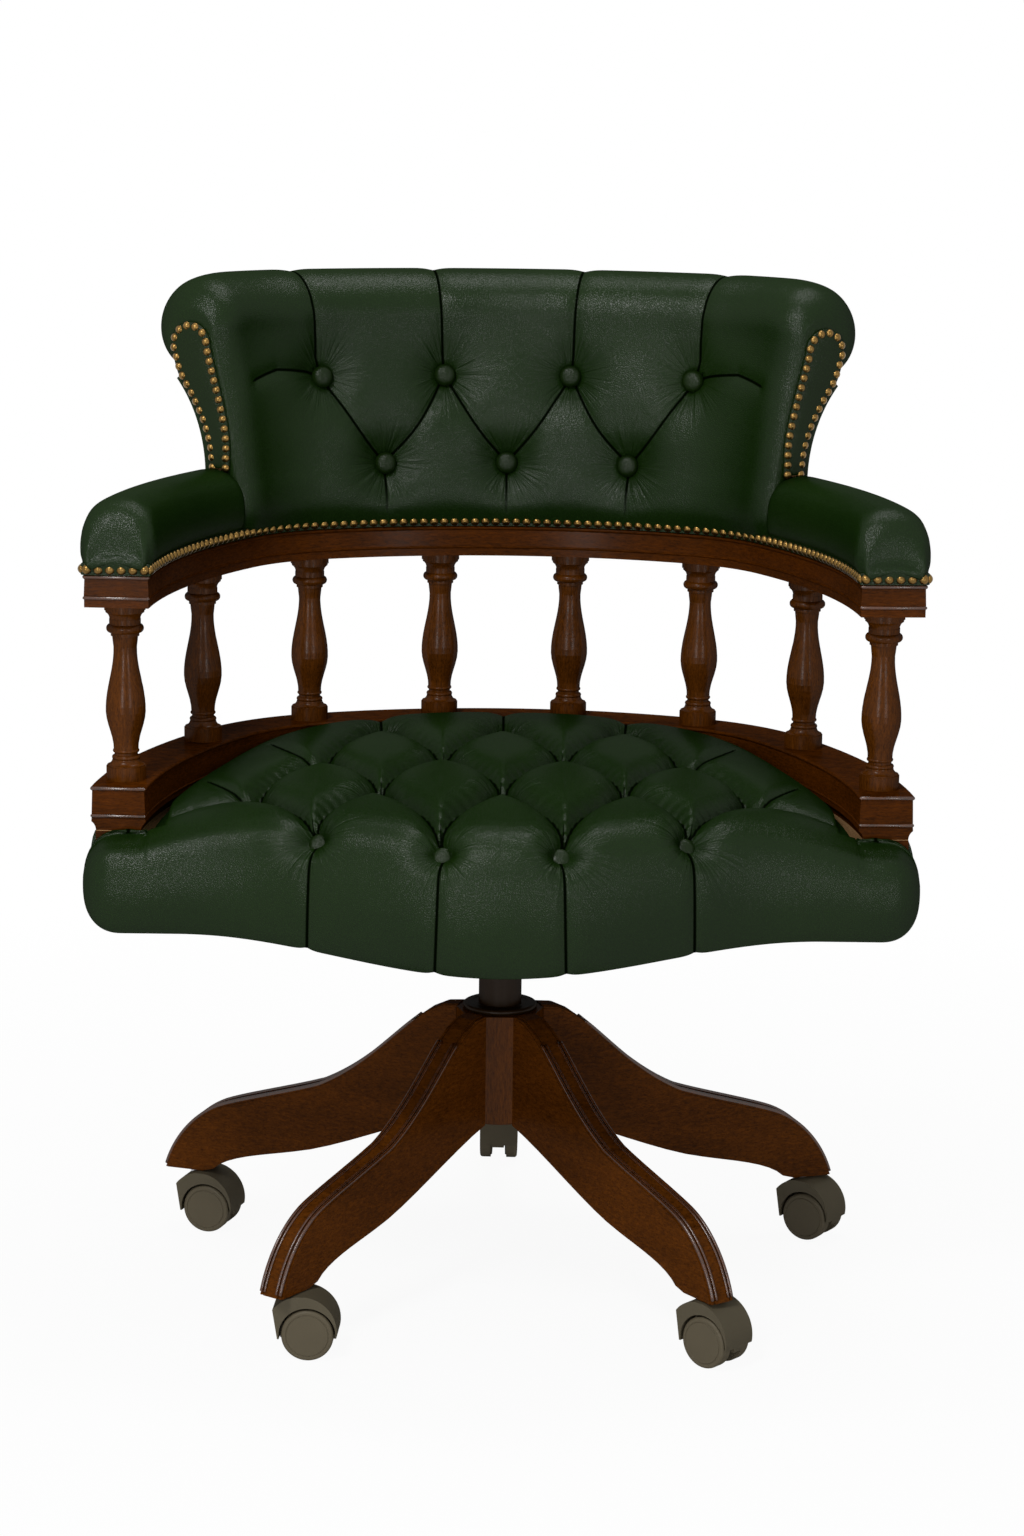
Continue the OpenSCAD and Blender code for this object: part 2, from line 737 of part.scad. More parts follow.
module seat_plate() {
    ear_z = pivot_z - 11;
    color([0.12, 0.12, 0.12]) difference() {
        union() {
            translate([-plate_half, -plate_front, plate_z])
                cube([2 * plate_half, plate_front + plate_rear, steel_t]);
            for (side = [-1, 1])
                translate([side * (ear_x + steel_t / 2), -pivot_y, 0]) rotate([90, 0, 90])
                    linear_extrude(steel_t, center = true) polygon([
                        [-24, plate_z + 1], [24, plate_z + 1], [10, ear_z], [-10, ear_z],
                    ]);
        }
        translate([0, -pivot_y, pivot_z]) rotate([0, 90, 0])
            cylinder(d = pivot_d + 2 * fit, h = 3 * housing_half, center = true);
        for (p = bolt_places) translate([p[0], p[1], plate_z - 1]) cylinder(d = bolt_d + 2 * fit, h = steel_t + 2);
    }
}

module plate_bolts() {
    head_t = 3.5;
    color(steel) for (p = bolt_places) translate([p[0], p[1], plate_z]) {
        translate([0, 0, -head_t]) cylinder(d = 11, h = head_t, $fn = 6);
        translate([0, 0, -1]) cylinder(d = bolt_d, h = steel_t + board_t - 1);
    }
}

lip_t = 20;
corner_x = seat_half - 48;
outline_step = 10;
front_xs = [for (i = [-20 : 20]) corner_x * i / 20];

// How far the front edge has curved back at x, from 0 at the middle to 1 at the corners
function bow(x) = 0.5 - 0.5 * cos(180 * min(abs(x), front_bow_x) / front_bow_x);
function front_edge(x) = -front_y + front_bow * bow(x);
function lower_edge(x) = apron_z + (corner_z - apron_z) * bow(x);

rail_front = rail_point(rail_end, 0)[1];

// Plan of the seat board, with its outer edge u outward from the centre line and its front edge set back by inset
function board_plan(u, inset) = concat(
    [for (s = [-rail_end : outline_step : rail_end]) rail_point2(s, u)],
    [rail_point2(rail_end, u)],
    [[corner_x - inset, rail_front]],
    [for (i = [len(front_xs) - 1 : -1 : 0])
        let (x = front_xs[i] * (1 - inset / corner_x)) [x, front_edge(front_xs[i]) + lip_t + gap + inset]],
    [[-corner_x + inset, rail_front]]
);

board_inset = 2;

module seat_frame() {
    color([0.55, 0.4, 0.25]) difference() {
        union() {
            translate([0, 0, board_z]) linear_extrude(board_t) polygon(board_plan(frame_w / 2 - board_inset, 0));
            along_rail(arm_a) translate([-frame_w / 2, board_z + board_t - 1])
                square([frame_w, hoop_top - hoop_t - board_z - board_t + 1]);
        }
        for (p = bolt_places) translate([p[0], p[1], board_z - 1]) cylinder(d = bolt_d + 2 * fit, h = board_t);
    }
}

module dust_cover() {
    cover_t = 1;
    color([0.05, 0.05, 0.05]) translate([0, 0, board_z - gap - cover_t]) linear_extrude(cover_t) difference() {
        polygon(board_plan(frame_w / 2 - 4, 6));
        translate([-plate_half - 2, -plate_front - 2])
            square([2 * plate_half + 4, plate_front + plate_rear + 4]);
    }
}

// Leather over padding on the outside of the seat's frame, drawn in at its two edges
module seat_border() {
    low = board_z - 0.5;
    high = hoop_top - hoop_t - gap;
    inner = frame_w / 2 + gap;
    bulge = 26;
    draw_in = 6;
    half = (high - low) / 2;
    r = (half * half + draw_in * draw_in) / (2 * draw_in);
    color(leather) along_rail(arm_a) intersection() {
        translate([inner, low]) square([bulge, high - low]);
        translate([bulge - r, low + half]) circle(r, $fn = 200);
    }
}

// The rails and spindles

// Points along an arc between two angles
function arc(c, r, a0, a1, n) = [for (i = [0 : n]) c + r * [cos(a0 + (a1 - a0) * i / n), sin(a0 + (a1 - a0) * i / n)]];

// A section that is the same on both sides, from the points of its right half
module two_sided(half) {
    polygon(concat(half, [for (i = [len(half) - 1 : -1 : 0]) [-half[i][0], half[i][1]]]));
}

// Fillet bead over the lower band, the fascia and the bead at the top of a rail's face
function fascia(half, low, high) = concat(
    arc([half - bead_r, low], bead_r * 0.8, -60, 60, 4),
    [[half - bead_r, high - 2 * bead_r - 0.4]],
    arc([half - bead_r, high - bead_r], bead_r, -80, 90, 6)
);

module spindle_bores(z) {
    both_sides() for (s = spindle_s)
        at_rail(s) translate([0, 0, z]) cylinder(d = tenon_d + 2 * fit, h = tenon_l + 1);
}

hoop_low = 12;
rail_low = 8;
rail_z = hoop_top + spindle_l;
rail_top = rail_z + rail_t;

module seat_hoop() {
    half = hoop_w / 2;
    low = hoop_top - hoop_t;
    cove = arc([half + 4.5, low], 9, 180, 125, 5);
    color(wood) difference() {
        along_rail(arm_a) two_sided(concat(cove, fascia(half, low + hoop_low, hoop_top)));
        spindle_bores(hoop_top - tenon_l);
    }
}

module arm_rail() {
    half = rail_w / 2;
    band = [[half - 1.2, rail_z], [half - 1.2, rail_z + rail_low - 1.3]];
    color(wood) difference() {
        along_rail(arm_a) two_sided(concat(band, fascia(half, rail_z + rail_low, rail_top)));
        spindle_bores(rail_z - 1);
    }
}

// Ease from 0 to 1, level at both ends
function ease(t) = 0.5 - 0.5 * cos(180 * t);

// Radius of the turned part of a spindle at the share t of its length from the top
function spindle_radius(t) =
    t < 0.26 ? neck_d / 2 + 1.2 * ease((0.26 - t) / 0.08)
    : t < 0.607 ? neck_d / 2 + (belly_d - neck_d) / 2 * ease((t - 0.26) / 0.347)
    : belly_d / 2 - (belly_d / 2 - 10.4) * ease(min(1, (t - 0.607) / 0.22));

body_from = 0.18;
body_to = 0.835;
body_steps = 18;

module spindle_half() {
    l = spindle_l;
    polygon(concat(
        [[0, (1 - body_to) * l], [0, (1 - body_from) * l]],
        [for (i = [0 : body_steps])
            let (t = body_from + (body_to - body_from) * i / body_steps) [spindle_radius(t), (1 - t) * l]]
    ));
    // Cap, its cove and the beads below it
    translate([0, 0.955 * l]) square([cap_d / 2, 0.045 * l]);
    difference() {
        translate([0, 0.9 * l]) square([cap_d / 2 - 1, 0.06 * l]);
        translate([cap_d / 2 + 2.2, 0.905 * l]) circle(6.5);
    }
    translate([0, 0.875 * l]) square([cap_d / 2 - 4, 0.03 * l]);
    translate([0, 0.81 * l]) square([ring_d / 2 - 3.8, 0.07 * l]);
    translate([ring_d / 2 - 3.9, 0.885 * l]) circle(1.4);
    translate([ring_d / 2 - 3.8, 0.852 * l]) circle(3.8);
    // Beads, flare and block of the foot
    translate([0, 0.085 * l]) square([9.8, 0.09 * l]);
    translate([9.7, 0.162 * l]) circle(1.5);
    translate([10, 0.125 * l]) circle(1.9);
    difference() {
        translate([0, 0.06 * l]) square([foot_d / 2 - 0.8, 0.055 * l]);
        translate([foot_d / 2 + 0.4, 0.119 * l]) circle(5.6);
    }
    square([foot_d / 2, 0.075 * l]);
}

module spindles(i) {
    color(wood) both_sides() at_rail(spindle_s[i]) translate([0, 0, hoop_top]) {
        rotate_extrude() intersection() {
            spindle_half();
            square([cap_d, spindle_l]);
        }
        translate([0, 0, -tenon_l + 0.5]) cylinder(d = tenon_d, h = spindle_l + 2 * tenon_l - 1);
    }
}

// The arm pads

pad_section = [
    [0.8, 0], [-0.8, 0], [-0.86, 0.1], [-0.97, 0.25], [-1, 0.42], [-0.93, 0.63], [-0.7, 0.84], [-0.33, 0.97],
    [0, 1], [0.33, 0.97], [0.7, 0.84], [0.93, 0.63], [1, 0.42], [0.97, 0.25], [0.86, 0.1],
];
pad_from = back_s + gap;
pad_round = 42;
pad_stations = concat(
    [for (i = [0 : 7]) pad_from + (rail_end - pad_round - pad_from) * i / 7],
    [for (a = [20, 40, 55, 68, 78, 86]) rail_end - pad_round * (1 - sin(a))]
);

// Height and width of the pad at s, as shares of the full section
function pad_front(s) = max(0, (s - rail_end + pad_round) / pad_round);
function pad_height(s) = 0.3 + 0.7 * sqrt(1 - pow(pad_front(s), 2));
function pad_width(s) = 1 - 0.14 * pow(pad_front(s), 5);

module arm_pad() {
    bottom = rail_top + gap;
    color(leather) skin([for (s = pad_stations) [for (p = pad_section)
        let (q = rail_point(s, p[0] * pad_width(s) * pad_w / 2))
        [q[0], q[1], bottom + p[1] * pad_height(s) * (pad_top - bottom)]]]);
}

// Tufting: the pillow's height from 0 in a crease to 1 between creases.
// a counts half pitches across, b counts rows, and buttons sit where a + b + odd is even.
function to_even(x) = abs(x - 2 * round(x / 2));
function crease(a, b, rows, odd) =
    b < 0 ? 1 - (1 - min(1, to_even(a + odd))) * max(0.25, exp(b))
    : b > rows ? 1 - (1 - min(1, to_even(a + rows + odd))) * max(0.25, exp(rows - b))
    : min(to_even(a - b + odd), to_even(a + b + odd), 1);
function pillow(a, b, rows, odd, reach) =
    let (d = max(crease(a, b, rows, odd), min(1, max(0, abs(a) - reach(b)))))
    pow(sin(90 * min(1, d)), 0.8);

// The seat cushion

hoop_inner = -hoop_w / 2 - soft_gap;
hoop_end_x = rail_point(rail_end, hoop_inner)[0];
seat_cols = 4;
seat_xs = concat(
    [for (i = [0 : 4 * seat_cols]) seat_half_pitch * i / seat_cols],
    [for (x = [0.645, 0.7, 0.775]) seat_half * x], [hoop_end_x, corner_x - gap],
    [for (x = [0.93, 0.975, 1]) seat_half * x]
);
cushion_xs = concat([for (i = [len(seat_xs) - 1 : -1 : 1]) -seat_xs[i]], seat_xs);
corner_front = rail_front - 2.5;
side_round = 46;

// Rear edge of the cushion at x, along the inside of the hoop
function rear_edge(x) =
    let (
        ax = abs(x),
        rr = rear_r + hoop_inner,
        cr = corner_r + hoop_inner,
        ar = arm_r + hoop_inner,
        y = ax < rr * sin(rear_a) ? rear_c[1] + sqrt(rr * rr - ax * ax)
            : ax < corner_c[0] + cr * sin(corner_a) ? corner_c[1] + sqrt(cr * cr - pow(ax - corner_c[0], 2))
            : ax < arm_c[0] + ar ? arm_c[1] + sqrt(ar * ar - pow(ax - arm_c[0], 2))
            : corner_front
    )
    max(y, corner_front);

// Untufted height of the seat's top
function seat_top(x, y) =
    seat_edge_z + seat_crown * (1 - pow(min(1, abs(x) / 300), 3)) * (1 - pow(min(1, abs(y + 20) / 205), 4));

seat_reach = function(b) b > 2.5 ? 2 : b > 0.5 && b < 1.5 ? 4 : 3;
function seat_pillow(x, y) =
    pillow(x / seat_half_pitch, (y + seat_row_y) / seat_row, 3, 1, seat_reach);
top_rows = 15;

// Height of the tufted top, with the tufts fading towards the hoop
function seat_surface(x, y) =
    let (to_rear = rear_edge(x) - y, fade = min(1, max(0, (to_rear - 5) / 55)))
    seat_top(x, y) - seat_tuft * fade * (1 - seat_pillow(x, y));

// The rows' distance from the front, drawn together where the hoop cuts them off
function top_row_y(x, j) =
    let (
        first = front_edge(x) + 42,
        y = -seat_row_y + seat_row / 4 * j,
        last = -seat_row_y + seat_row / 4 * (top_rows - 1),
        rear = rear_edge(x),
        knee = max(first + 0.15 * (rear - first), rear - 50),
        lead = max(y, first + 0.01 * j)
    )
    rear <= first + 20 ? first - 14 + (rear - first + 14) * j / (top_rows - 1)
    : y <= first ? first + 0.5 * j
    : y < knee ? y
    : let (from = max(knee, first + 8)) from + (rear - from) * (y - knee) / (last - knee);

// The roll over the front edge: distance behind the edge and share of its height
front_face = [[7, 0], [-1, 0.2], [-6, 0.44], [-3, 0.68], [11, 0.9]];

function seat_section(x) =
    let (
        yf = front_edge(x),
        zb = lower_edge(x),
        rear = rear_edge(x),
        roll_z = seat_top(x, yf + 30) - 6,
        lip = abs(x) < corner_x ? yf + lip_t : rear - 0.5,
        squeeze = abs(x) > seat_half - side_round
            ? sqrt(max(0.03, 1 - pow((abs(x) - seat_half + side_round) / side_round, 2))) : 1,
        middle = [rear - 2, (zb + roll_z) / 2 - 6],
        pleat = 5 * (1 - seat_pillow(x, -seat_row_y - seat_row * 0.4)),
        board = board_z + board_t + gap,
        ring = concat(
            [for (p = front_face) [yf + p[0] + pleat * (p[1] > 0 ? 1 : 0), zb + p[1] * (roll_z - zb)]],
            [for (j = [0 : top_rows - 1]) let (y = top_row_y(x, j)) [y, seat_surface(x, y)]],
            [[rear, board], [max(lip, rear - 40), board], [lip, board], [lip, zb + 2]]
        )
    )
    [for (p = ring) squeeze < 1 ? middle + squeeze * (p - middle) : p];

module seat_cushion() {
    color(leather) skin([for (x = cushion_xs) [for (p = seat_section(x)) [x, p[0], p[1]]]]);
}

seat_button_rows = [[-3, -1, 1, 3], [-4, -2, 0, 2, 4], [-3, -1, 1, 3], [-2, 0, 2]];

module button() {
    scale_h = 0.42;
    intersection() {
        translate([0, 0, -button_d * 0.34]) sphere(d = button_d * 1.25);
        translate([0, 0, -1.5]) cylinder(d = button_d, h = button_d * scale_h);
    }
}

module seat_buttons() {
    color(leather) for (r = [0 : 3], a = seat_button_rows[r]) {
        x = a * seat_half_pitch;
        y = max(-seat_row_y, front_edge(x) + 44) + r * seat_row;
        translate([x, y, seat_surface(x, y) + gap]) rotate([r == 0 ? 32 : 4, 0, 0]) button();
    }
}

// The back

back_foot = rail_top + gap;
flare_u = 2 + flare_r;
flare_end = 40;
round_s = 42;
back_cols = 4;
back_ss = concat(
    [for (i = [0 : 17]) back_half_pitch * i / back_cols],
    [for (t = [0.1, 0.4, 0.66, 0.84, 0.95, 1]) back_s - round_s * (1 - t)]
);
cushion_ss = concat([for (i = [len(back_ss) - 1 : -1 : 1]) -back_ss[i]], back_ss);

// Depth of the tufts' floor in front of the centre line at the heights of the rows
back_floor = [
    [-25, back_foot], [-24, back_row_z - 41], [-22, back_row_z - 20], [-20, back_row_z],
    [-18, back_row_z + back_row / 4], [-15, back_row_z + back_row / 2], [-12, back_row_z + back_row * 3 / 4],
    [-9, back_row_z + back_row], [-9, back_row_z + back_row + 20],
];
back_reach = function(b) b < 0.5 ? 2 : 3;
function back_pillow(s, z) =
    pillow(s / back_half_pitch, (z - back_row_z) / back_row, 1, 0, back_reach);

roll_angles = [180, 150, 120, 90, 60, 30, 0, -30, -60];
roll_foot = [34.5, back_top - 85];
board_step = 10;
board_angles = [for (a = [flare_end : -board_step : 0]) a];

// Share of the end's rounding at s, from 0 to 1
function end_share(s) = min(1, max(0, (abs(s) - back_s + round_s) / round_s));

function back_section(s) =
    let (
        e = sqrt(1 - pow(end_share(s), 2)),
        r = roll_end_r + (roll_r - roll_end_r) * e,
        c = [roll_u - 7 * (1 - e), back_top - roll_r - 14 * (1 - e)],
        pleat = 1 - back_pillow(s, back_row_z + 1.5 * back_row),
        fr = (flare_r + back_board_t + gap) / cos(board_step / 2)
    )
    concat(
        [for (p = back_floor)
            let (low = min(1, (p[1] - back_foot) / 40))
            [p[0] - back_tuft * low * e * back_pillow(s, p[1]), p[1]]],
        [for (a = roll_angles)
            let (q = r - (a > 20 ? 3 * pleat * e : 0)) c + q * [cos(a), sin(a)]],
        [roll_foot],
        [for (a = board_angles) [flare_u - fr * cos(a), flare_z + fr * sin(a)]],
        [[flare_u - fr, back_foot]]
    );

module back_cushion() {
    color(leather) skin([for (s = cushion_ss) [for (p = back_section(s))
        let (q = rail_point2(s, p[0])) [q[0], q[1], p[1]]]]);
}

// Section of a flared sheet between two radii, with a straight foot down to the rail
module flared_sheet(r0, r1, end) {
    translate([flare_u, flare_z]) intersection() {
        difference() {
            circle(r1, $fn = 200);
            circle(r0, $fn = 200);
        }
        polygon([[0, 0], [-2 * r1, 0], [-2 * r1 * cos(end), 2 * r1 * sin(end)]]);
    }
    translate([flare_u - r1, back_foot - gap]) square([r1 - r0, flare_z - back_foot + gap + 0.01]);
}

module back_frame() {
    color([0.55, 0.4, 0.25]) along_rail(heading(back_s - 2)) flared_sheet(flare_r, flare_r + back_board_t, flare_end - 1);
}

module back_cover() {
    color(leather) along_rail(heading(back_s)) flared_sheet(flare_r - gap - panel_t, flare_r - gap, flare_end + 0.5);
}

facing_c = [19, back_top - roll_r - 20];
facing_r = 24;
facing_foot = pad_top + gap;
facing_inner = [[-18, facing_foot], [-18, 750], [-9, 780], [-5, facing_c[1]]];
facing_outer = [[40, facing_c[1] - 12], [26, 778], [4, 750], [3, facing_foot]];

module facing_outline() {
    steps = 10;
    translate(facing_c) circle(facing_r);
    polygon(concat(
        [for (i = [0 : steps]) bezier(facing_inner, i / steps)],
        [for (i = [0 : steps]) bezier(facing_outer, i / steps)]
    ));
}

module back_facings() {
    color(leather) both_sides() at_rail(back_s) translate([0, -gap, 0]) rotate([90, 0, 0])
        linear_extrude(panel_t - 1) facing_outline();
}

back_button_rows = [[-2, 0, 2], [-3, -1, 1, 3]];

module back_buttons() {
    color(leather) for (r = [0, 1], a = back_button_rows[r]) {
        s = a * back_half_pitch;
        z = back_row_z + r * back_row;
        u = back_floor[3 + 4 * r][0];
        p = rail_point2(s, u - gap);
        h = s < 0 ? -heading(-s) : heading(s);
        translate([p[0], p[1], z]) rotate([0, 0, -h]) rotate([90 - 8, 0, 0]) button();
    }
}

hub_post();
hub_collar();
leg(FRONT_LEFT);  // leg_front_left
leg(FRONT_RIGHT);  // leg_front_right
leg(SIDE_LEFT);  // leg_side_left
leg(SIDE_RIGHT);  // leg_side_right
leg(REAR);  // leg_rear
leg_dowels();
caster_sockets();
stand_tube();
column_bush();
thrust_bearing();
piston_rod();
caster_housing(FRONT_LEFT);  // caster_front_left_housing
caster_pins(FRONT_LEFT);  // caster_front_left_pins
caster_wheel(FRONT_LEFT, -1);  // caster_front_left_wheel_near
caster_wheel(FRONT_LEFT, 1);  // caster_front_left_wheel_far
caster_housing(FRONT_RIGHT);  // caster_front_right_housing
caster_pins(FRONT_RIGHT);  // caster_front_right_pins
caster_wheel(FRONT_RIGHT, -1);  // caster_front_right_wheel_near
caster_wheel(FRONT_RIGHT, 1);  // caster_front_right_wheel_far
caster_housing(SIDE_LEFT);  // caster_side_left_housing
caster_pins(SIDE_LEFT);  // caster_side_left_pins
caster_wheel(SIDE_LEFT, -1);  // caster_side_left_wheel_near
caster_wheel(SIDE_LEFT, 1);  // caster_side_left_wheel_far
caster_housing(SIDE_RIGHT);  // caster_side_right_housing
caster_pins(SIDE_RIGHT);  // caster_side_right_pins
caster_wheel(SIDE_RIGHT, -1);  // caster_side_right_wheel_near
caster_wheel(SIDE_RIGHT, 1);  // caster_side_right_wheel_far
caster_housing(REAR);  // caster_rear_housing
caster_pins(REAR);  // caster_rear_pins
caster_wheel(REAR, -1);  // caster_rear_wheel_near
caster_wheel(REAR, 1);  // caster_rear_wheel_far
gas_cylinder();
release_button();
tilt_housing();
tilt_pin();
tilt_springs();
tension_knob();
height_lever();
seat_plate();
plate_bolts();
seat_frame();
dust_cover();
seat_border();
seat_cushion();
seat_buttons();
seat_hoop();
spindles(0);  // spindles_back
spindles(1);  // spindles_corner
spindles(2);  // spindles_side
spindles(3);  // spindles_front
arm_rail();
mirror([1, 0, 0]) arm_pad();  // arm_pad_left
arm_pad();  // arm_pad_right
back_frame();
back_cushion();
back_cover();
back_facings();
back_buttons();
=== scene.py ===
"""Looks of the captain's swivel chair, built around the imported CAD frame.

Lengths are millimetres, apart from the camera, the lamps, the floor and the textures, which are in metres.
"""
import json
import math
import bmesh
import bpy
import numpy as np
from mathutils import Matrix, Vector


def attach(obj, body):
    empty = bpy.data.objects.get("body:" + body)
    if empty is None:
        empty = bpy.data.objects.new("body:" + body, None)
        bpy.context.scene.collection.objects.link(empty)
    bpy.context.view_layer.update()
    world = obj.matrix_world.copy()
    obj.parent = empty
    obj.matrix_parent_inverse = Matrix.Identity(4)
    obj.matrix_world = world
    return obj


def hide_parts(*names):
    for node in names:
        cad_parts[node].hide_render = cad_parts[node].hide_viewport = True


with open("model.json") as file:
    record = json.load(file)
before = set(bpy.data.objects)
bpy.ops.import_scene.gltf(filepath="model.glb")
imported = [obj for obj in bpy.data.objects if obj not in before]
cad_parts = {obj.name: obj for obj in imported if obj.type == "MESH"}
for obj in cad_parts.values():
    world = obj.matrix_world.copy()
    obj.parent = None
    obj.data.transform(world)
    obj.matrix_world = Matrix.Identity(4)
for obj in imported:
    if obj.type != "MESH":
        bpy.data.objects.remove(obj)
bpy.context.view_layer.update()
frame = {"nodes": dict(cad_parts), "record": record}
MM = 0.001

# ---------------- camera, light and backdrop
SENSOR = 36
FOCAL, FRAME_HEIGHT = 3600, 1536  # pixels of the photograph
SHIFT = (0.0059, -0.0026)
CAMERA_AT = (0, -3.10, 1.095)
PITCH, ROLL = 11.6, 0.7
WORLD_FILL = 0.13
FLOOR_HALF = 12.0
FLOOR_WHITE, FLOOR_RISE = 0.93, 0.05  # share of backdrop white at the middle, and its rise for each metre away


def placed(name, data):
    obj = bpy.data.objects.new(name, data)
    bpy.context.collection.objects.link(obj)
    return obj


def make_camera():
    data = bpy.data.cameras.new("camera")
    data.sensor_width = SENSOR
    data.lens = SENSOR * FOCAL / FRAME_HEIGHT
    data.shift_x, data.shift_y = SHIFT
    data.clip_end = 50
    cam = placed("camera", data)
    turn = Matrix.Rotation(math.radians(90 - PITCH), 4, "X") @ Matrix.Rotation(math.radians(ROLL), 4, "Z")
    cam.matrix_world = Matrix.Translation(CAMERA_AT) @ turn
    bpy.context.scene.camera = cam


def area_lamp(name, place, target, size, watts):
    data = bpy.data.lights.new(name, "AREA")
    data.shape = "RECTANGLE"
    data.size, data.size_y = size
    data.energy = watts
    lamp = placed(name, data)
    lamp.location = place
    lamp.rotation_euler = (Vector(target) - Vector(place)).to_track_quat("-Z", "Y").to_euler()


class Nodes:
    """A small wrapper round a node tree."""

    def __init__(self, tree):
        self.tree = tree
        tree.nodes.clear()

    def add(self, kind, inputs=None, **settings):
        node = self.tree.nodes.new(kind)
        for key, value in settings.items():
            setattr(node, key, value)
        for key, value in (inputs or {}).items():
            if isinstance(value, bpy.types.NodeSocket):
                self.tree.links.new(value, node.inputs[key])
            else:
                node.inputs[key].default_value = value
        return node

    def maths(self, operation, a, b=0.0, c=0.0, clamp=False):
        return self.add("ShaderNodeMath", {0: a, 1: b, 2: c}, operation=operation, use_clamp=clamp).outputs[0]

    def noise(self, vector, scale, detail, **more):
        return self.add("ShaderNodeTexNoise", {"Vector": vector, "Scale": scale, "Detail": detail, **more}).outputs[0]

    def bump(self, height, strength, distance, **more):
        inputs = {"Height": height, "Strength": strength, "Distance": distance, **more}
        return self.add("ShaderNodeBump", inputs).outputs[0]

    def attribute(self, name, output="Vector"):
        return self.add("ShaderNodeAttribute", attribute_name=name).outputs[output]

    def mix(self, factor, a, b, blend="MIX"):
        return self.add("ShaderNodeMix", {0: factor, 6: a, 7: b}, data_type="RGBA", blend_type=blend).outputs[2]

    def ramp(self, factor, stops):
        node = self.add("ShaderNodeValToRGB", {0: factor})
        while len(node.color_ramp.elements) < len(stops):
            node.color_ramp.elements.new(0.5)
        for element, (place, colour) in zip(node.color_ramp.elements, stops):
            element.position = place
            element.color = colour
        return node.outputs[0]

    def seen(self):
        """1 for rays that show the backdrop: camera, glossy and transmission rays."""
        path = self.add("ShaderNodeLightPath").outputs
        both = self.maths("MAXIMUM", path["Is Camera Ray"], path["Is Glossy Ray"])
        return self.maths("MAXIMUM", both, path["Is Transmission Ray"])


def make_world():
    world = bpy.data.worlds.new("world")
    bpy.context.scene.world = world
    world.use_nodes = True
    n = Nodes(world.node_tree)
    seen = n.seen()
    fill = n.add("ShaderNodeBackground", {"Color": (1, 1, 1, 1), "Strength": WORLD_FILL})
    white = n.add("ShaderNodeBackground", {"Color": (1, 1, 1, 1), "Strength": 1.0})
    mix = n.add("ShaderNodeMixShader", {0: seen, 1: fill.outputs[0], 2: white.outputs[0]})
    n.add("ShaderNodeOutputWorld", {0: mix.outputs[0]})


def make_floor():
    mesh = bpy.data.meshes.new("floor")
    corners = [(x * FLOOR_HALF, y * FLOOR_HALF, 0) for x, y in ((-1, -1), (1, -1), (1, 1), (-1, 1))]
    mesh.from_pydata(corners, [], [(0, 1, 2, 3)])
    floor = placed("floor", mesh)
    mat = bpy.data.materials.new("floor")
    mat.use_nodes = True
    n = Nodes(mat.node_tree)
    pale = n.add("ShaderNodeBsdfDiffuse", {"Color": (0.8, 0.8, 0.8, 1)})
    white = n.add("ShaderNodeEmission", {"Color": (1, 1, 1, 1), "Strength": 1.0})
    place = n.add("ShaderNodeTexCoord").outputs["Object"]
    away = n.add("ShaderNodeVectorMath", {0: place}, operation="LENGTH").outputs["Value"]
    share = n.maths("MINIMUM", n.maths("MULTIPLY_ADD", away, FLOOR_RISE, FLOOR_WHITE), 1.0)
    share = n.maths("MULTIPLY", n.seen(), share)
    mix = n.add("ShaderNodeMixShader", {0: share, 1: pale.outputs[0], 2: white.outputs[0]})
    n.add("ShaderNodeOutputMaterial", {0: mix.outputs[0]})
    mesh.materials.append(mat)


make_camera()
make_world()
make_floor()
# Name, place, target, size and watts
area_lamp("key", (-0.9, -1.7, 2.6), (0, 0, 0.55), (0.7, 0.6), 38)
area_lamp("front_left", (-0.95, -2.8, 0.75), (0, 0, 0.65), (0.3, 0.9), 17)
area_lamp("front_right", (1.25, -2.6, 0.7), (0, 0, 0.65), (0.35, 0.9), 11)
area_lamp("top", (0.2, 0.45, 2.6), (0, -0.1, 0.5), (1.0, 0.4), 18)

# ---------------- materials
SHINE = 0.012  # share of gloss on most surfaces


def colour(r, g, b):
    """Linear colour from 8-bit sRGB values."""
    return tuple((v / 255 / 12.92 if v <= 10 else ((v / 255 + 0.055) / 1.055) ** 2.4) for v in (r, g, b)) + (1,)


def material(name, **settings):
    mat = bpy.data.materials.new(name)
    mat.use_nodes = True
    n = Nodes(mat.node_tree)
    bsdf = n.add("ShaderNodeBsdfPrincipled")
    for key, value in settings.items():
        bsdf.inputs[key].default_value = value
    return mat, n, bsdf, n.add("ShaderNodeTexCoord").outputs["Object"]


def surface(n, bsdf, base, rough, normal, shine=None):
    """Joins the values to the shader. shine is a share of gloss, as a waxed or lacquered skin has, and the leather
    lowers it along its painted crease shade.
    """
    for key, value in (("Base Color", base), ("Roughness", rough), ("Normal", normal)):
        n.tree.links.new(value, bsdf.inputs[key])
    out = bsdf.outputs[0]
    if shine is not None:
        gloss = n.add("ShaderNodeBsdfGlossy", {"Color": (1, 1, 1, 1), "Roughness": rough, "Normal": normal})
        out = n.add("ShaderNodeMixShader", {0: shine, 1: out, 2: gloss.outputs[0]}).outputs[0]
    n.add("ShaderNodeOutputMaterial", {0: out})


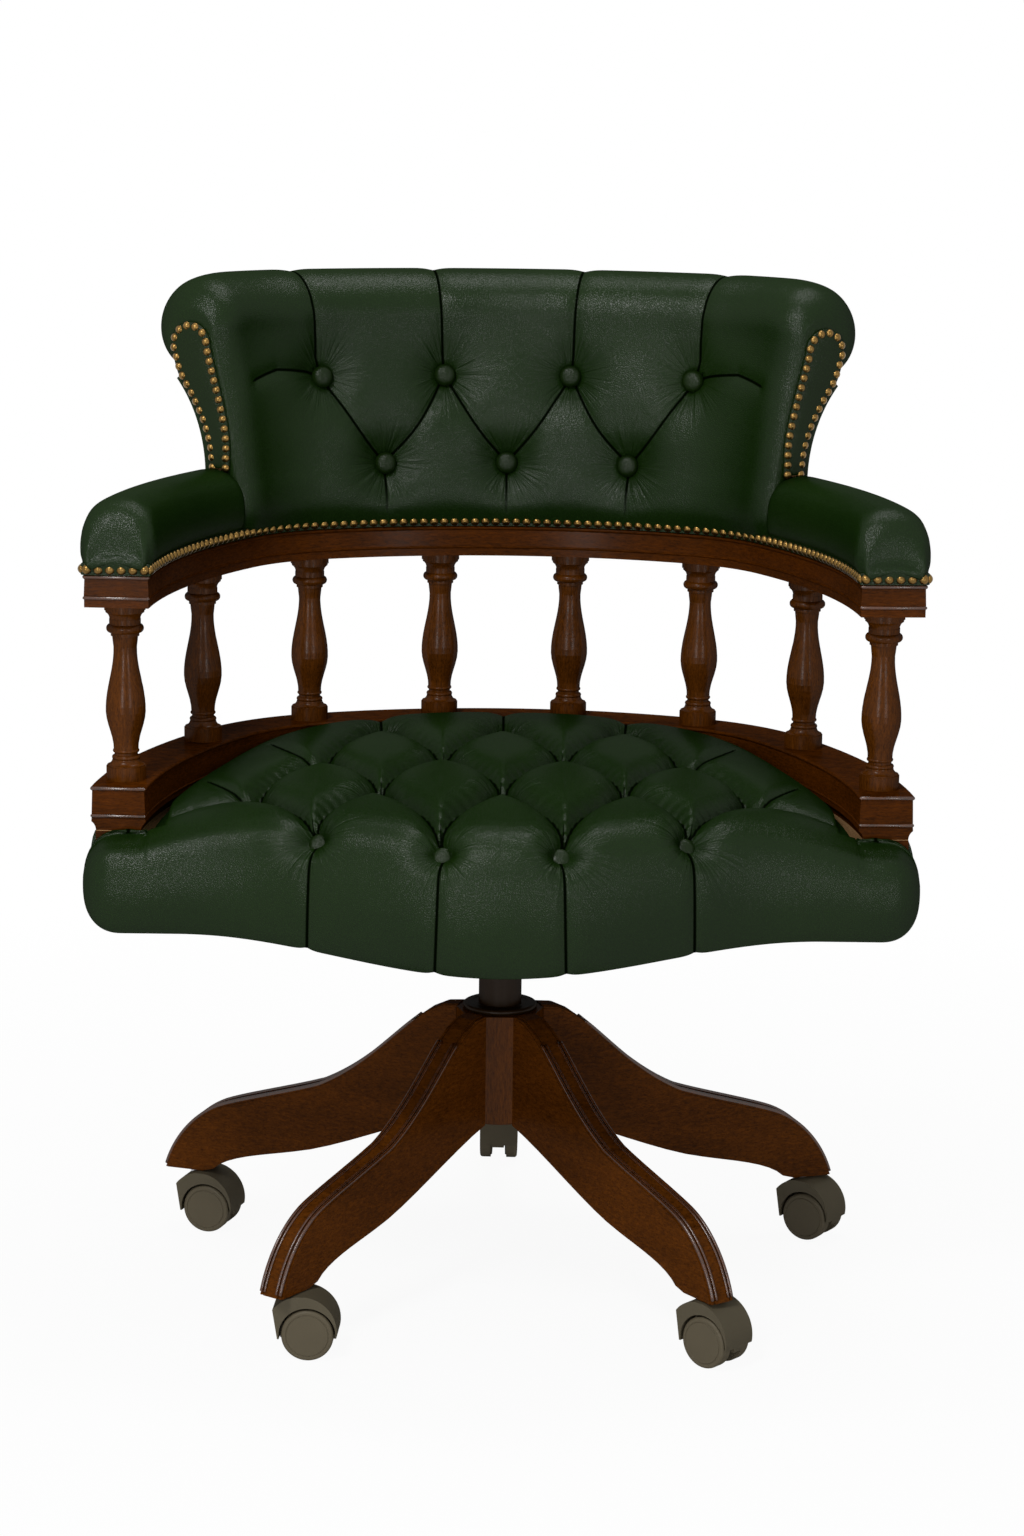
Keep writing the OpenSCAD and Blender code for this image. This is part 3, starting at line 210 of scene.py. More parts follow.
def leather(name, dark, light, grain=1.0):
    mat, n, bsdf, place = material(name, **{"Specular IOR Level": 0.0})
    cloud = n.noise(place, 9, 4)
    cells = n.add("ShaderNodeTexVoronoi", {"Vector": place, "Scale": 560 * grain}, feature="DISTANCE_TO_EDGE")
    pebble = n.ramp(cells.outputs[0], [(0, (0, 0, 0, 1)), (0.28, (1, 1, 1, 1))])
    fine = n.noise(place, 1500, 3)
    streak = n.noise(n.attribute("streak"), 9, 3)
    strength = n.attribute("streak_strength", "Fac")
    base = n.mix(cloud, dark, light)
    gaps = n.maths("MULTIPLY", n.maths("SUBTRACT", 1.0, pebble), 0.45)
    base = n.mix(gaps, base, tuple(0.45 * v for v in dark[:3]) + (1,))
    # Painted shade: the colour is darkened to near black along the bottom of a crease, where shade falls, and the gloss
    # is lowered there too. The crease attribute holds signed distance, plain distance and strength
    crease_at = n.add("ShaderNodeSeparateXYZ", {0: n.attribute("crease")})
    beside = n.maths("ABSOLUTE", crease_at.outputs[0])
    line = n.maths("MULTIPLY_ADD", beside, -1.0, 1.8, clamp=True)
    line = n.maths("MULTIPLY", line, n.maths("LESS_THAN", crease_at.outputs[1], 5.0))
    line = n.maths("MULTIPLY", line, crease_at.outputs[2])
    base = n.mix(n.maths("MULTIPLY", line, 0.93), base, (0.0006, 0.001, 0.0004, 1))
    rough = n.maths("MULTIPLY_ADD", fine, 0.14, 0.17)
    height = n.maths("MULTIPLY_ADD", pebble, 0.55, n.maths("MULTIPLY", fine, 0.5))
    folds = n.bump(n.maths("MULTIPLY", streak, strength), 1.0, 0.0018, Normal=n.bump(height, 0.4, 0.0005))
    # Less gloss along the painted crease shade
    surface(n, bsdf, base, rough, folds, n.maths("MULTIPLY_ADD", line, -SHINE, SHINE))
    return mat


def wood(name, dark, light, along, shine=0.003):
    """Lacquered wood. along scales the coordinates."""
    mat, n, bsdf, place = material(name, **{"Specular IOR Level": 0.0})
    stretched = n.add("ShaderNodeMapping", {"Vector": place, "Scale": along}).outputs[0]
    warp = n.noise(stretched, 5, 3, Distortion=0.4)
    fibre = n.noise(stretched, 90, 5, Roughness=0.65)
    pores = n.noise(stretched, 260, 2)
    figure = n.maths("MULTIPLY_ADD", warp, 0.35, n.maths("MULTIPLY", fibre, 0.65))
    tone = n.ramp(figure, [(0.3, dark), (0.68, light)])
    dots = n.ramp(pores, [(0.36, (0.6, 0.6, 0.6, 1)), (0.47, (1, 1, 1, 1))])
    base = n.mix(1.0, tone, dots, "MULTIPLY")
    rough = n.maths("MULTIPLY_ADD", fibre, 0.14, 0.17)
    surface(n, bsdf, base, rough, n.bump(pores, 0.1, 0.0003), shine)
    return mat


def plain(name, base, roughness, metallic=0.0, grain=900, bump=0.1, spread=0.2, shine=SHINE):
    mat, n, bsdf, place = material(name, **{"Metallic": metallic, "Specular IOR Level": 0.5 if metallic else 0.0})
    cloud = n.noise(place, 28, 4)
    fine = n.noise(place, grain, 2)
    low = tuple(v * (1 - spread) for v in base[:3]) + (1,)
    high = tuple(v * (1 + spread) for v in base[:3]) + (1,)
    rough = n.maths("MULTIPLY_ADD", cloud, 0.2, roughness - 0.1)
    surface(n, bsdf, n.mix(cloud, low, high), rough, n.bump(fine, bump, 0.0004), None if metallic else shine)
    return mat


LEATHER = leather("green_leather", colour(17, 35, 8), colour(27, 48, 13))
LEATHER_SMALL = leather("green_leather_small", colour(17, 32, 7), colour(26, 44, 12), 1.3)
WOOD_DARK, WOOD_LIGHT = colour(40, 18, 1), colour(90, 44, 4)
WOOD_ROUND = wood("mahogany_rails", WOOD_DARK, WOOD_LIGHT, (1.0, 1.6, 7.0))
WOOD_UPRIGHT = wood("mahogany_turned", colour(46, 22, 2), colour(98, 52, 8), (7.0, 7.0, 1.0), 0.008)
WOOD_LEGS = wood("mahogany_legs", colour(54, 26, 4), colour(104, 56, 12), (1.6, 1.6, 5.0))
WOOD_BEADS = wood("mahogany_beads", WOOD_DARK, WOOD_LIGHT, (1.6, 1.6, 5.0), 0.055)
BEECH = wood("beech", colour(150, 112, 74), colour(186, 146, 102), (1.0, 1.6, 7.0))
BRASS = plain("antique_brass", colour(118, 92, 50), 0.32, 1.0, 500, 0.35, 0.4)
BRONZE = plain("bronzed_steel", colour(32, 19, 6), 0.36, shine=0.010)
STEEL = plain("bright_steel", colour(170, 170, 175), 0.36, 1.0)
BLACK_STEEL = plain("black_steel", colour(30, 30, 31), 0.45)
BLACK_PLASTIC = plain("black_plastic", colour(28, 28, 29), 0.5)
RED_PLASTIC = plain("red_plastic", colour(150, 30, 22), 0.45)
CASTER = plain("caster_plastic", colour(88, 81, 65), 0.5, 0, 1300, 0.18, 0.1)
WHEEL = plain("wheel_plastic", colour(94, 86, 69), 0.44, 0, 1300, 0.12, 0.12)
CLOTH = plain("dust_cloth", colour(20, 20, 21), 0.9, 0, 2600, 0.5)

SLOT_LOOKS = {"mahogany": WOOD_ROUND, "beech": BEECH, "green_leather": LEATHER, "bronzed_steel": BRONZE,
              "bright_steel": STEEL, "black_steel": BLACK_STEEL, "black_plastic": BLACK_PLASTIC,
              "red_plastic": RED_PLASTIC, "caster_plastic": CASTER, "wheel_plastic": WHEEL, "dust_cloth": CLOTH}


def dress_cad_nodes():
    for entry in frame["record"]["subparts"]:
        node = frame["nodes"][entry["node"]]
        look = SLOT_LOOKS[entry["material_slot"]]
        if entry["node"].startswith("spindles") or entry["node"] == "hub_post":
            look = WOOD_UPRIGHT
        elif entry["node"].startswith("leg_") and look is WOOD_ROUND:
            look = WOOD_LEGS
        node.data.materials.clear()
        node.data.materials.append(look)
        node.data.polygons.foreach_set("material_index", [0] * len(node.data.polygons))
        node.data.polygons.foreach_set("use_smooth", [True] * len(node.data.polygons))
        node.data.set_sharp_from_angle(angle=math.radians(35))


dress_cad_nodes()
bpy.context.scene.view_settings.view_transform = "Standard"

# ---------------- shared shapes
# The horseshoe: three arcs on each side, as in the CAD part. _R is a radius, _A the heading at an arc's end in
# radians, _C a centre and _L the distance along the centre line from the middle of the rear.
REAR_Y, REAR_R, REAR_A = 187.5, 420.0, math.radians(25)
CORNER_A = math.radians(60.5)
ARM_R, ARM_A = 580.0, math.radians(86.5)
SEAT_HALF = 350.0
CORNER_R = (SEAT_HALF - 6 - REAR_R * math.sin(REAR_A) + ARM_R * math.sin(CORNER_A)
            - (ARM_R + 23.5) * math.sin(ARM_A)) / (math.sin(CORNER_A) - math.sin(REAR_A))
REAR_C = np.array([0.0, REAR_Y - REAR_R])
CORNER_C = REAR_C + (REAR_R - CORNER_R) * np.array([math.sin(REAR_A), math.cos(REAR_A)])
ARM_C = CORNER_C + (CORNER_R - ARM_R) * np.array([math.sin(CORNER_A), math.cos(CORNER_A)])
REAR_L = REAR_R * REAR_A
CORNER_L = REAR_L + CORNER_R * (CORNER_A - REAR_A)
RAIL_END = CORNER_L + ARM_R * (ARM_A - CORNER_A)
BACK_S = 304.0
RAIL_TOP = 647.0
MESH_STEP = 2.25  # between the points of a tufted cushion


def by_arc(s, rear, corner, arm):
    """The one of three values that belongs to the arc on which s lies."""
    s = np.abs(s)
    return np.where(s <= REAR_L, rear, np.where(s <= CORNER_L, corner, arm))


def heading(s):
    s = np.abs(s)
    return by_arc(s, s / REAR_R, REAR_A + (s - REAR_L) / CORNER_R, CORNER_A + (s - CORNER_L) / ARM_R)


def rail(s, u):
    """x and y at the distance s along the horseshoe, u outward from its centre line."""
    s, u = np.broadcast_arrays(np.asarray(s, float), np.asarray(u, float))
    h = heading(s)
    cx, cy = (by_arc(s, *parts) for parts in zip(REAR_C, CORNER_C, ARM_C))
    r = by_arc(s, REAR_R, CORNER_R, ARM_R) + u
    return np.where(s < 0, -1, 1) * (cx + r * np.sin(h)), cy + r * np.cos(h)


def on_rail(s, u, z):
    """Points at the distance s along the horseshoe, u outward from its centre line and z high."""
    x, y = rail(s, u)
    return np.stack([x, y, np.broadcast_to(z, x.shape)], -1)


def rail_normal(s):
    """Outward unit vector, square to the centre line at s."""
    h = float(heading(s))
    return np.array([math.copysign(math.sin(h), s) if s else 0.0, math.cos(h), 0.0])


def rail_forward(side, s):
    """Unit vector along the rail at the distance s, toward its front end on that side."""
    h = float(heading(s))
    return np.array([side * math.cos(h), -math.sin(h), 0.0])


def new_piece(name, points, faces, look, body="seat", weld=False):
    mesh = bpy.data.meshes.new(name)
    mesh.from_pydata((np.asarray(points, float) * MM).tolist(), [], [list(map(int, f)) for f in faces])
    mesh.validate()
    work = bmesh.new()
    work.from_mesh(mesh)
    if weld:
        bmesh.ops.remove_doubles(work, verts=work.verts, dist=1e-6)
    bmesh.ops.recalc_face_normals(work, faces=work.faces)
    work.to_mesh(mesh)
    work.free()
    mesh.update()
    obj = placed(name, mesh)
    mesh.materials.append(look)
    mesh.polygons.foreach_set("use_smooth", [True] * len(mesh.polygons))
    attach(obj, body)
    return obj


def grid_faces(m, n, start=0):
    """Quads between m rings of n points each."""
    i, j = np.meshgrid(np.arange(m - 1), np.arange(n), indexing="ij")
    k = (j + 1) % n
    return np.stack([i * n + j, (i + 1) * n + j, (i + 1) * n + k, i * n + k], -1).reshape(-1, 4) + start


def end_caps(m, n, start=0, turned=True):
    """The faces that close the first and the last of m rings of n points, the first one turned round."""
    first = range(start, start + n)
    return [list(first[::-1] if turned else first), list(range(start + (m - 1) * n, start + m * n))]


def cap_faces(start, rings, sides):
    """Faces of a round cap: a fan about the point start, its rings outward, and one face that closes it below."""
    faces = [(start, start + 1 + k, start + 1 + (k + 1) % sides) for k in range(sides)]
    for ring in range(rings - 1):
        at = start + 1 + ring * sides
        faces += [(at + k, at + sides + k, at + sides + (k + 1) % sides, at + (k + 1) % sides) for k in range(sides)]
    last = start + 1 + (rings - 1) * sides
    return faces + [[last + k for k in range(sides)]]


def circle(u, z, radius, sides=12):
    a = np.linspace(0, 2 * np.pi, sides + 1)[:-1]
    return np.stack([u + radius * np.cos(a), z + radius * np.sin(a)], -1)


def valley_triangles(points, q):
    """Splits each quad along the diagonal that lies deeper, so that creases stay crisp."""
    a, b, c, d = (points[q[:, i]] for i in range(4))
    outward = np.cross(c - a, d - b)
    deep = ((a + c - b - d) * outward).sum(1) < 0
    first = np.where(deep[:, None], q[:, [0, 1, 2]], q[:, [0, 1, 3]])
    second = np.where(deep[:, None], q[:, [0, 2, 3]], q[:, [1, 2, 3]])
    return np.concatenate([first, second])


def distances(path):
    """Distance along a polyline to each of its points."""
    return np.concatenate([[0], np.cumsum(np.linalg.norm(np.diff(path, axis=0), axis=1))])


def at_distances(path, way, at):
    return np.stack([np.interp(at, way, path[:, i]) for i in range(path.shape[1])], -1)


def spline(points, count):
    """count points, evenly spaced along a smooth curve through the given points."""
    p = np.asarray(points, float)
    q = np.vstack([2 * p[0] - p[1], p, 2 * p[-1] - p[-2]])
    dense = []
    for i in range(1, len(q) - 2):
        for t in np.linspace(0, 1, 16, endpoint=False):
            dense.append(0.5 * (2 * q[i] + (q[i + 1] - q[i - 1]) * t
                                + (2 * q[i - 1] - 5 * q[i] + 4 * q[i + 1] - q[i + 2]) * t * t
                                + (3 * q[i] - q[i - 1] - 3 * q[i + 1] + q[i + 2]) * t ** 3))
    dense = np.array(dense + [p[-1]])
    way = distances(dense)
    return at_distances(dense, way, np.linspace(0, way[-1], count))


# ---------------- tufting
class Tufts:
    """Creases and buttons in a flat pattern. Each crease is a chain of (x, y, depth) points.

    pit is the depth beyond which hollows hardly deepen, wide a crease's greatest half width, full the fullness of
    the pillows, and dimple the depth and radius of the hollow round a button.
    """

    def __init__(self, buttons, creases, pit, wide, full, dimple):
        self.buttons = np.array(buttons, float)
        self.pit, self.wide, self.full, self.dimple = pit, wide, full, dimple
        parts = [np.array(c, float) for c in creases]
        self.a = np.concatenate([c[:-1] for c in parts])
        self.b = np.concatenate([c[1:] for c in parts])

    def nearest(self, p):
        """Distance to each segment, and the depth at its nearest point."""
        a, b = self.a[:, :2], self.b[:, :2]
        ab = b - a
        rel = p[:, None, :] - a[None]
        t = np.clip((rel * ab).sum(-1) / (ab * ab).sum(-1), 0, 1)
        foot = a + t[..., None] * ab
        depth = self.a[:, 2] + t * (self.b[:, 2] - self.a[:, 2])
        return np.linalg.norm(p[:, None, :] - foot, axis=-1), depth

    def relief(self, p):
        """How far the surface lies below its crest at the points p, and their place beside the nearest crease."""
        drop = np.empty(len(p))
        beside = np.empty((len(p), 3))
        a, ab = self.a[:, :2], self.b[:, :2] - self.a[:, :2]
        chunk = 20000
        for i in range(0, len(p), chunk):
            part = p[i:i + chunk]
            d, depth = self.nearest(part)
            # A crease is narrower where it is shallow, and its bottom is slightly rounded
            wide = np.minimum(self.wide, 14 + 2.2 * depth)
            share = 1 - np.clip((np.sqrt(d * d + 2.6) - 1.6) / wide, 0, 1)
            each = depth * (1 - (1 - share ** self.full) ** 0.85)
            drop[i:i + chunk] = (each ** 6).sum(1) ** (1 / 6)
            k = d.argmin(1)
            row = np.arange(len(k))
            rel = part - a[k]
            sign = np.sign(ab[k, 0] * rel[:, 1] - ab[k, 1] * rel[:, 0])
            near = d[row, k]
            # The third value is how strongly the leather material paints shade along the crease
            beside[i:i + chunk] = np.stack([sign * near, near, np.clip(depth[row, k] / 1.6, 0, 1)], -1)
        for x, y in self.buttons:
            drop += self.dimple[0] * np.exp(-(np.hypot(p[:, 0] - x, p[:, 1] - y) / self.dimple[1]) ** 2)
        return np.minimum(drop, self.pit) + 0.2 * np.maximum(drop - self.pit, 0), beside

    def ripple(self, p):
        """Small radial folds round the buttons, and the data for finer ones in the leather."""
        height = np.zeros(len(p))
        near = np.zeros((len(p), 3))
        strength = np.zeros(len(p))
        for k, (x, y) in enumerate(self.buttons):
            dx, dy = p[:, 0] - x, p[:, 1] - y
            r = np.hypot(dx, dy) + 1e-6
            angle = np.arctan2(dy, dx)
            fade = np.exp(-((r - 17) / 11.0) ** 2)
            waves = np.sin(11 * angle + 1.7 * k) + 0.7 * np.sin(17 * angle + 2.9 * k) + 0.4 * np.sin(29 * angle)
            height += 0.3 * fade * waves
            power = np.clip((r - 7) / 6, 0, 1) * np.exp(-(np.maximum(r - 16, 0) / 22.0) ** 2)
            closer = power > strength
            near[closer] = np.stack([dx / r, dy / r, np.full(len(p), 3.1 * k)], -1)[closer]
            strength = np.maximum(strength, power)
        return height, near, strength


def crease(a, b, deep_a, deep_b, middle, bow):
    """A crease that leaves the button a straight on and then turns towards b, as (x, y, depth) points."""
    ax, ay, bx, by = *a, *b
    length = math.hypot(bx - ax, by - ay)
    sign = (1 if ax > bx else -1) * (1 if by > ay else -1)
    side = ((by - ay) / length * sign, (ax - bx) / length * sign)
    chain = []
    for t in np.linspace(0, 1, 11):
        out = bow * math.sin(math.pi * t)
        deep = deep_a if t < 0.5 else deep_b
        chain.append((ax + (bx - ax) * t + side[0] * out, ay + (by - ay) * t + side[1] * out,
                      middle + (deep - middle) * abs(2 * t - 1) ** 1.8))
    return chain


def both_halves(items):
    """Adds the mirror image of every point chain or point that isn't on the middle line."""
    out = []
    for item in items:
        chain = isinstance(item, list)
        out.append(item)
        mirrored = [(-p[0],) + tuple(p[1:]) for p in (item if chain else [item])]
        if any(abs(p[0]) > 1e-6 for p in mirrored):
            out.append(mirrored if chain else mirrored[0])
    return out


def even_then_fine(half, end, count):
    """Places from -half to half, even in the middle and closing up over the last stretch of length end."""
    x = np.arange(0, half - end, MESH_STEP)
    x = np.concatenate([x, half - end + end * np.sin(np.linspace(0, np.pi / 2, count))])
    return np.concatenate([-x[:0:-1], x])


def cushion_piece(name, rows, tufted, streak, strength, beside):
    """A leather piece from rows of points. The first ones of each row are tufted and the others close it behind."""
    m, n = rows.shape[:2]
    points = rows.reshape(-1, 3)
    faces = valley_triangles(points, grid_faces(m, n)).tolist() + end_caps(m, n)
    obj = new_piece(name, points, faces, LEATHER)
    for key, values, kind, field in (("streak", streak, "FLOAT_VECTOR", "vector"),
                                     ("streak_strength", strength, "FLOAT", "value"),
                                     ("crease", beside, "FLOAT_VECTOR", "vector")):
        values = np.pad(values.reshape(m, tufted, -1), ((0, 0), (0, n - tufted), (0, 0)))
        obj.data.attributes.new(key, kind, "POINT").data.foreach_set(field, values.ravel())
    return obj


def nearest_point(flat, shape, x, y):
    """Row and column of the point that lies nearest to (x, y) in the flat pattern."""
    return np.unravel_index(np.hypot(flat[:, 0] - x, flat[:, 1] - y).argmin(), shape)


def button_caps(name, places, normals, radius, rise, sides=28):
    """Leather-covered buttons with a rolled edge, as one piece."""
    # Share of the radius, and how far below the top as a share of the rise
    profile = [(0.05, 0.0), (0.22, 0.01), (0.42, 0.04), (0.62, 0.11), (0.78, 0.22), (0.90, 0.38), (0.97, 0.56),
               (1.0, 0.76), (0.985, 0.95), (0.93, 1.12), (0.84, 1.22)]
    points, faces = [], []
    for place, normal in zip(places, normals):
        normal = Vector(normal).normalized()
        side = normal.orthogonal().normalized()
        up = normal.cross(side)
        faces += cap_faces(len(points), len(profile), sides)
        points.append(Vector(place) + normal * rise)
        for share, fall in profile:
            for k in range(sides):
                a = 2 * math.pi * k / sides
                wrinkle = 1 + 0.018 * math.sin(9 * a + len(points)) * max(0, share - 0.6)
                points.append(Vector(place) + (side * math.cos(a) + up * math.sin(a)) * radius * share * wrinkle
                              + normal * rise * (1 - fall))
    return new_piece(name, np.array(points), faces, LEATHER_SMALL)


# ---------------- seat
HOOP_INNER = -24.5
CORNER_FRONT = float(rail(RAIL_END, 0)[1]) - 2.0
HOOP_END_X = float(rail(RAIL_END, HOOP_INNER)[0])
CROWN, UNDERSIDE, OVER_FRAME = 472.0, 336.0, 373.5  # heights of the seat's top, its front's foot, and over the frame
FRONT_Y, FRONT_BOW, FRONT_HALF = -282.0, 81.0, 270.0
FRONT_ROUND = 42.0  # from the front edge back to where the top begins
SEAT_END, END_FULL = 34.0, 2.3  # the stretch over which each end rounds off, and how full the rounding is
FAR = 99.0  # a distance beyond the reach of the hoop

# The buttons in rows from the front, one half of the seat
A1, A2 = (51, -275), (158, -231)
B1, B2, B3 = (0, -128), (105, -126), (213, -122)
C1, C2 = (53, -6), (158, -4)
D1, D2 = (0, 114), (111, 116)
SEAT_BUTTONS = [A1, A2, B1, B2, B3, C1, C2, D1, D2]
SEAT_CREASES = [crease(a, b, 16, 25, 15, bow) for a, b, bow in ((A1, B1, 15), (A1, B2, 15), (A2, B2, 14), (A2, B3, 14))]
SEAT_CREASES += [crease(a, b, 25, 25, 14, 14)
                 for a, b in ((B1, C1), (B2, C1), (B2, C2), (B3, C2), (C1, D1), (C1, D2), (C2, D2))]
SEAT_CREASES += [
    [D1 + (25,), (0, 128, 14), (0, 146, 9), (0, 190, 7)],
    [D2 + (25,), (112, 130, 14), (113, 146, 9), (114, 190, 7)],
    [C2 + (25,), (176, 18, 9), (196, 46, 4), (206, 60, 2)],
    [B3 + (25,), (228, -98, 9), (244, -70, 4), (254, -52, 2)],
    [B3 + (25,), (238, -123, 14), (262, -130, 9), (290, -150, 5), (312, -172, 2)],
    [A1 + (16,), (51, -283, 5), (51.4, -296, 2.2), (55, -420, 1.8)],
    [A2 + (16,), (158, -239, 5), (158.4, -252, 2.2), (163, -420, 1.8)],
]


def seat_bow(x):
    """0 at the middle of the seat's front and 1 at its corners."""
    return 0.5 - 0.5 * np.cos(np.pi * np.minimum(np.abs(x), FRONT_HALF) / FRONT_HALF)


def front_edge(x):
    return FRONT_Y + FRONT_BOW * seat_bow(x)


def seat_top(x, y):
    """Height of the seat's crown, before the tufts."""
    front = np.clip((-y - 60) / 140, 0, 1.3) ** 2
    rear = np.clip((y - 20) / 130, 0, 1)
    return CROWN + 4 * rear - 7 * front - 25 * (np.minimum(np.abs(x), 300) / 270) ** 3


def hoop_distance(x, y):
    """Distance in plan from each point to the hoop's inner side."""
    at = np.stack([np.abs(x).ravel(), y.ravel()], -1)
    line = np.stack(rail(np.linspace(0, RAIL_END, 600), HOOP_INNER), -1)
    near = [np.sqrt(((part[:, None] - line[None]) ** 2).sum(-1).min(1)) for part in np.array_split(at, 40)]
    return np.concatenate(near).reshape(x.shape)


def rear_edge(x):
    """y of the hoop's inner side at x, or of its front ends beside it."""
    x = abs(x)
    for radius, turn, centre in ((REAR_R, REAR_A, REAR_C), (CORNER_R, CORNER_A, CORNER_C), (ARM_R, math.pi / 2, ARM_C)):
        r = radius + HOOP_INNER
        if x < centre[0] + r * math.sin(turn):
            return max(centre[1] + math.sqrt(r * r - (x - centre[0]) ** 2), CORNER_FRONT)
    return CORNER_FRONT


def seat_leather():
    tufts = Tufts(both_halves(SEAT_BUTTONS), both_halves(SEAT_CREASES), pit=27, wide=44, full=4.2, dimple=(8, 16))
    xs = even_then_fine(SEAT_HALF, SEAT_END, 18)
    n_front, n_top = 76, 178
    pattern, base = [], []
    for x in xs:
        yf, rear = front_edge(x), rear_edge(x)
        zb = UNDERSIDE + 14 * seat_bow(x)
        y0 = min(yf + FRONT_ROUND, rear - 4)
        z0 = seat_top(x, y0)
        h = z0 - zb
        front = spline([(yf + 19, zb + 3.5), (yf + 9, zb + 0.2), (yf + 1, zb + 0.09 * h), (yf - 4.5, zb + 0.27 * h),
                        (yf - 6, zb + 0.46 * h), (yf - 3.5, zb + 0.65 * h), (yf + 4.5, zb + 0.83 * h),
                        (yf + 17, z0 - 8), (yf + 30, z0 - 2.6), (y0, z0)], n_front)
        way = distances(front)
        ys = np.linspace(y0, rear, n_top + 1)[1:]
        pattern.append(np.concatenate([y0 - (way[-1] - way), ys]))
        base.append(np.concatenate([front, np.stack([ys, seat_top(x, ys)], -1)]))
    base, pattern = np.array(base), np.array(pattern)
    m, n = pattern.shape
    flat = np.stack([np.repeat(xs, n), pattern.ravel()], -1)
    across = np.gradient(base, axis=0) / np.gradient(xs)[:, None, None]
    tangent = np.gradient(base, axis=1) / np.gradient(pattern, axis=1)[..., None]
    p = np.concatenate([np.broadcast_to(xs[:, None, None], (m, n, 1)), base], -1)
    du = np.concatenate([np.ones((m, n, 1)), across], -1)
    dv = np.concatenate([np.zeros((m, n, 1)), tangent], -1)
    normal = np.cross(du, dv)
    normal /= np.linalg.norm(normal, axis=-1, keepdims=True)
    drop, beside = tufts.relief(flat)
    drop = drop.reshape(m, n)
    height, near, strength = tufts.ripple(flat)
    # Distance to the hoop, beside which the top rolls over and the tufts grow calm
    top = p[..., 1] > np.minimum(front_edge(p[..., 0]) + FRONT_ROUND, CORNER_FRONT)
    edge = np.where(top, np.maximum(hoop_distance(p[..., 0], p[..., 1]), 0), FAR)
    edge = np.where(p[..., 1] < CORNER_FRONT - 1, np.maximum(edge, CORNER_FRONT - p[..., 1]), edge)
    before_hoop = np.minimum(edge, np.where(top, CORNER_FRONT - p[..., 1], FAR))
    edge = np.where(np.abs(p[..., 0]) > HOOP_END_X - 14, before_hoop, edge)
    calm = np.clip((edge - 2) / 26, 0, 1)
    rim = 11.0
    roll = rim - np.sqrt(rim ** 2 - (rim - np.clip(edge, 0, rim)) ** 2)
    p = p - normal * (drop * (0.35 + 0.65 * calm))[..., None] + normal * height.reshape(m, n, 1) * calm[..., None]
    p[..., 2] -= roll * 0.9
    # The cushion's ends are drawn in round a point in front of the hoop's ends
    t = np.clip((np.abs(xs) - SEAT_HALF + SEAT_END) / SEAT_END, 0, 1)
    squeeze = np.maximum((1 - t ** END_FULL) ** (1 / END_FULL), 0.04)[:, None]
    mid_z = 0.5 * (p[:, 8, 2] + p[:, n_front, 2])[:, None] - 4
    p[..., 1] = (CORNER_FRONT - 1) + (p[..., 1] - CORNER_FRONT + 1) * squeeze
    p[..., 2] = mid_z + (p[..., 2] - mid_z) * squeeze
    # Closing rows: down behind the top and back under it
    lower = []
    for i, x in enumerate(xs):
        yb, zb = p[i, -1, 1], p[i, -1, 2]
        front_y, front_z = p[i, 0, 1], p[i, 0, 2]
        outside = abs(x) > HOOP_END_X
        floor_z = front_z if outside else OVER_FRAME
        sag = 0.6 if outside else 0.0
        lip = yb - 0.4 if outside else front_y
        last = 0.5 * (yb + front_y) if outside else lip
        down = [(x, yb - sag * k * (1 - k), zb + (floor_z - zb) * k) for k in (0.06, 0.2, 0.4, 0.6, 0.8, 1.0)]
        lower.append(down + [(x, 0.5 * (yb + lip), floor_z), (x, last, floor_z)])
    obj = cushion_piece("seat_leather", np.concatenate([p, lower], axis=1), n, near, strength, beside)
    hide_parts("seat_cushion")
    places, normals = [], []
    for bx, by in both_halves(SEAT_BUTTONS):
        at = nearest_point(flat, (m, n), bx, by)
        places.append(p[at] + normal[at] * 4.5)
        normals.append(normal[at] * np.array([0.3, 1, 1]))
    caps = button_caps("seat_button_caps", places, normals, radius=9.8, rise=6.5)
    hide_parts("seat_buttons")


# ---------------- back
FOOT = RAIL_TOP + 0.3
ROLL_R, ROLL_U, BACK_TOP = 43.0, 28.0, 877.0
ROLL_END_R, ROLL_END = 33.0, 60.0  # the roll's radius at its ends, and the stretch over which it narrows
ROLL_FROM = 834.0
FLARE_R, FLARE_Z, FLARE_U = 131.0, 705.0, 133.0
COVER_R = FLARE_R - 5.3  # outer face of the leather on the outside
BOARD_R = FLARE_R + 10.3  # where the cushion meets the board

# The buttons in rows from below, one half of the back
E1, E2 = (0, 707), (117, 707)
F1, F2 = (58.5, 787), (175.5, 787)
BACK_BUTTONS = [E1, E2, F1, F2]
BACK_CREASES = [crease(a, b, 5, 5, 3, 5) for a, b in ((F1, E1), (F1, E2), (F2, E2))]
BACK_CREASES += [
    [F1 + (5,), (60.5, 803, 3), (63, 850, 2.4), (65, 905, 2), (66, 960, 1.5)],
    [F2 + (5,), (181, 803, 3), (186, 850, 2.4), (190, 905, 2), (191, 960, 1.5)],
    [E1 + (5,), (0, 694, 2), (0, 665, 0.8)],
    [E2 + (5,), (118, 694, 2), (119, 665, 0.8)],
    [F2 + (5,), (192, 791, 3.4), (232, 793, 3), (268, 786, 2)],
]
# Section of the back's inner face, u and z from the foot up to the roll
BACK_FACE = [(-27.5, 647.3), (-37, 668), (-38, 687), (-35, 707), (-32.5, 727), (-29.5, 747), (-26.5, 767),
             (-22.5, 787), (-18, 807), (-15.5, 824), (-15, 834)]


def flare_arc(radius, degrees):
    """u and z of the arc by which the back leans out, at the given angles up from its foot."""
    turn = np.radians(degrees)
    return np.stack([FLARE_U - radius * np.cos(turn), FLARE_Z + radius * np.sin(turn)], -1)


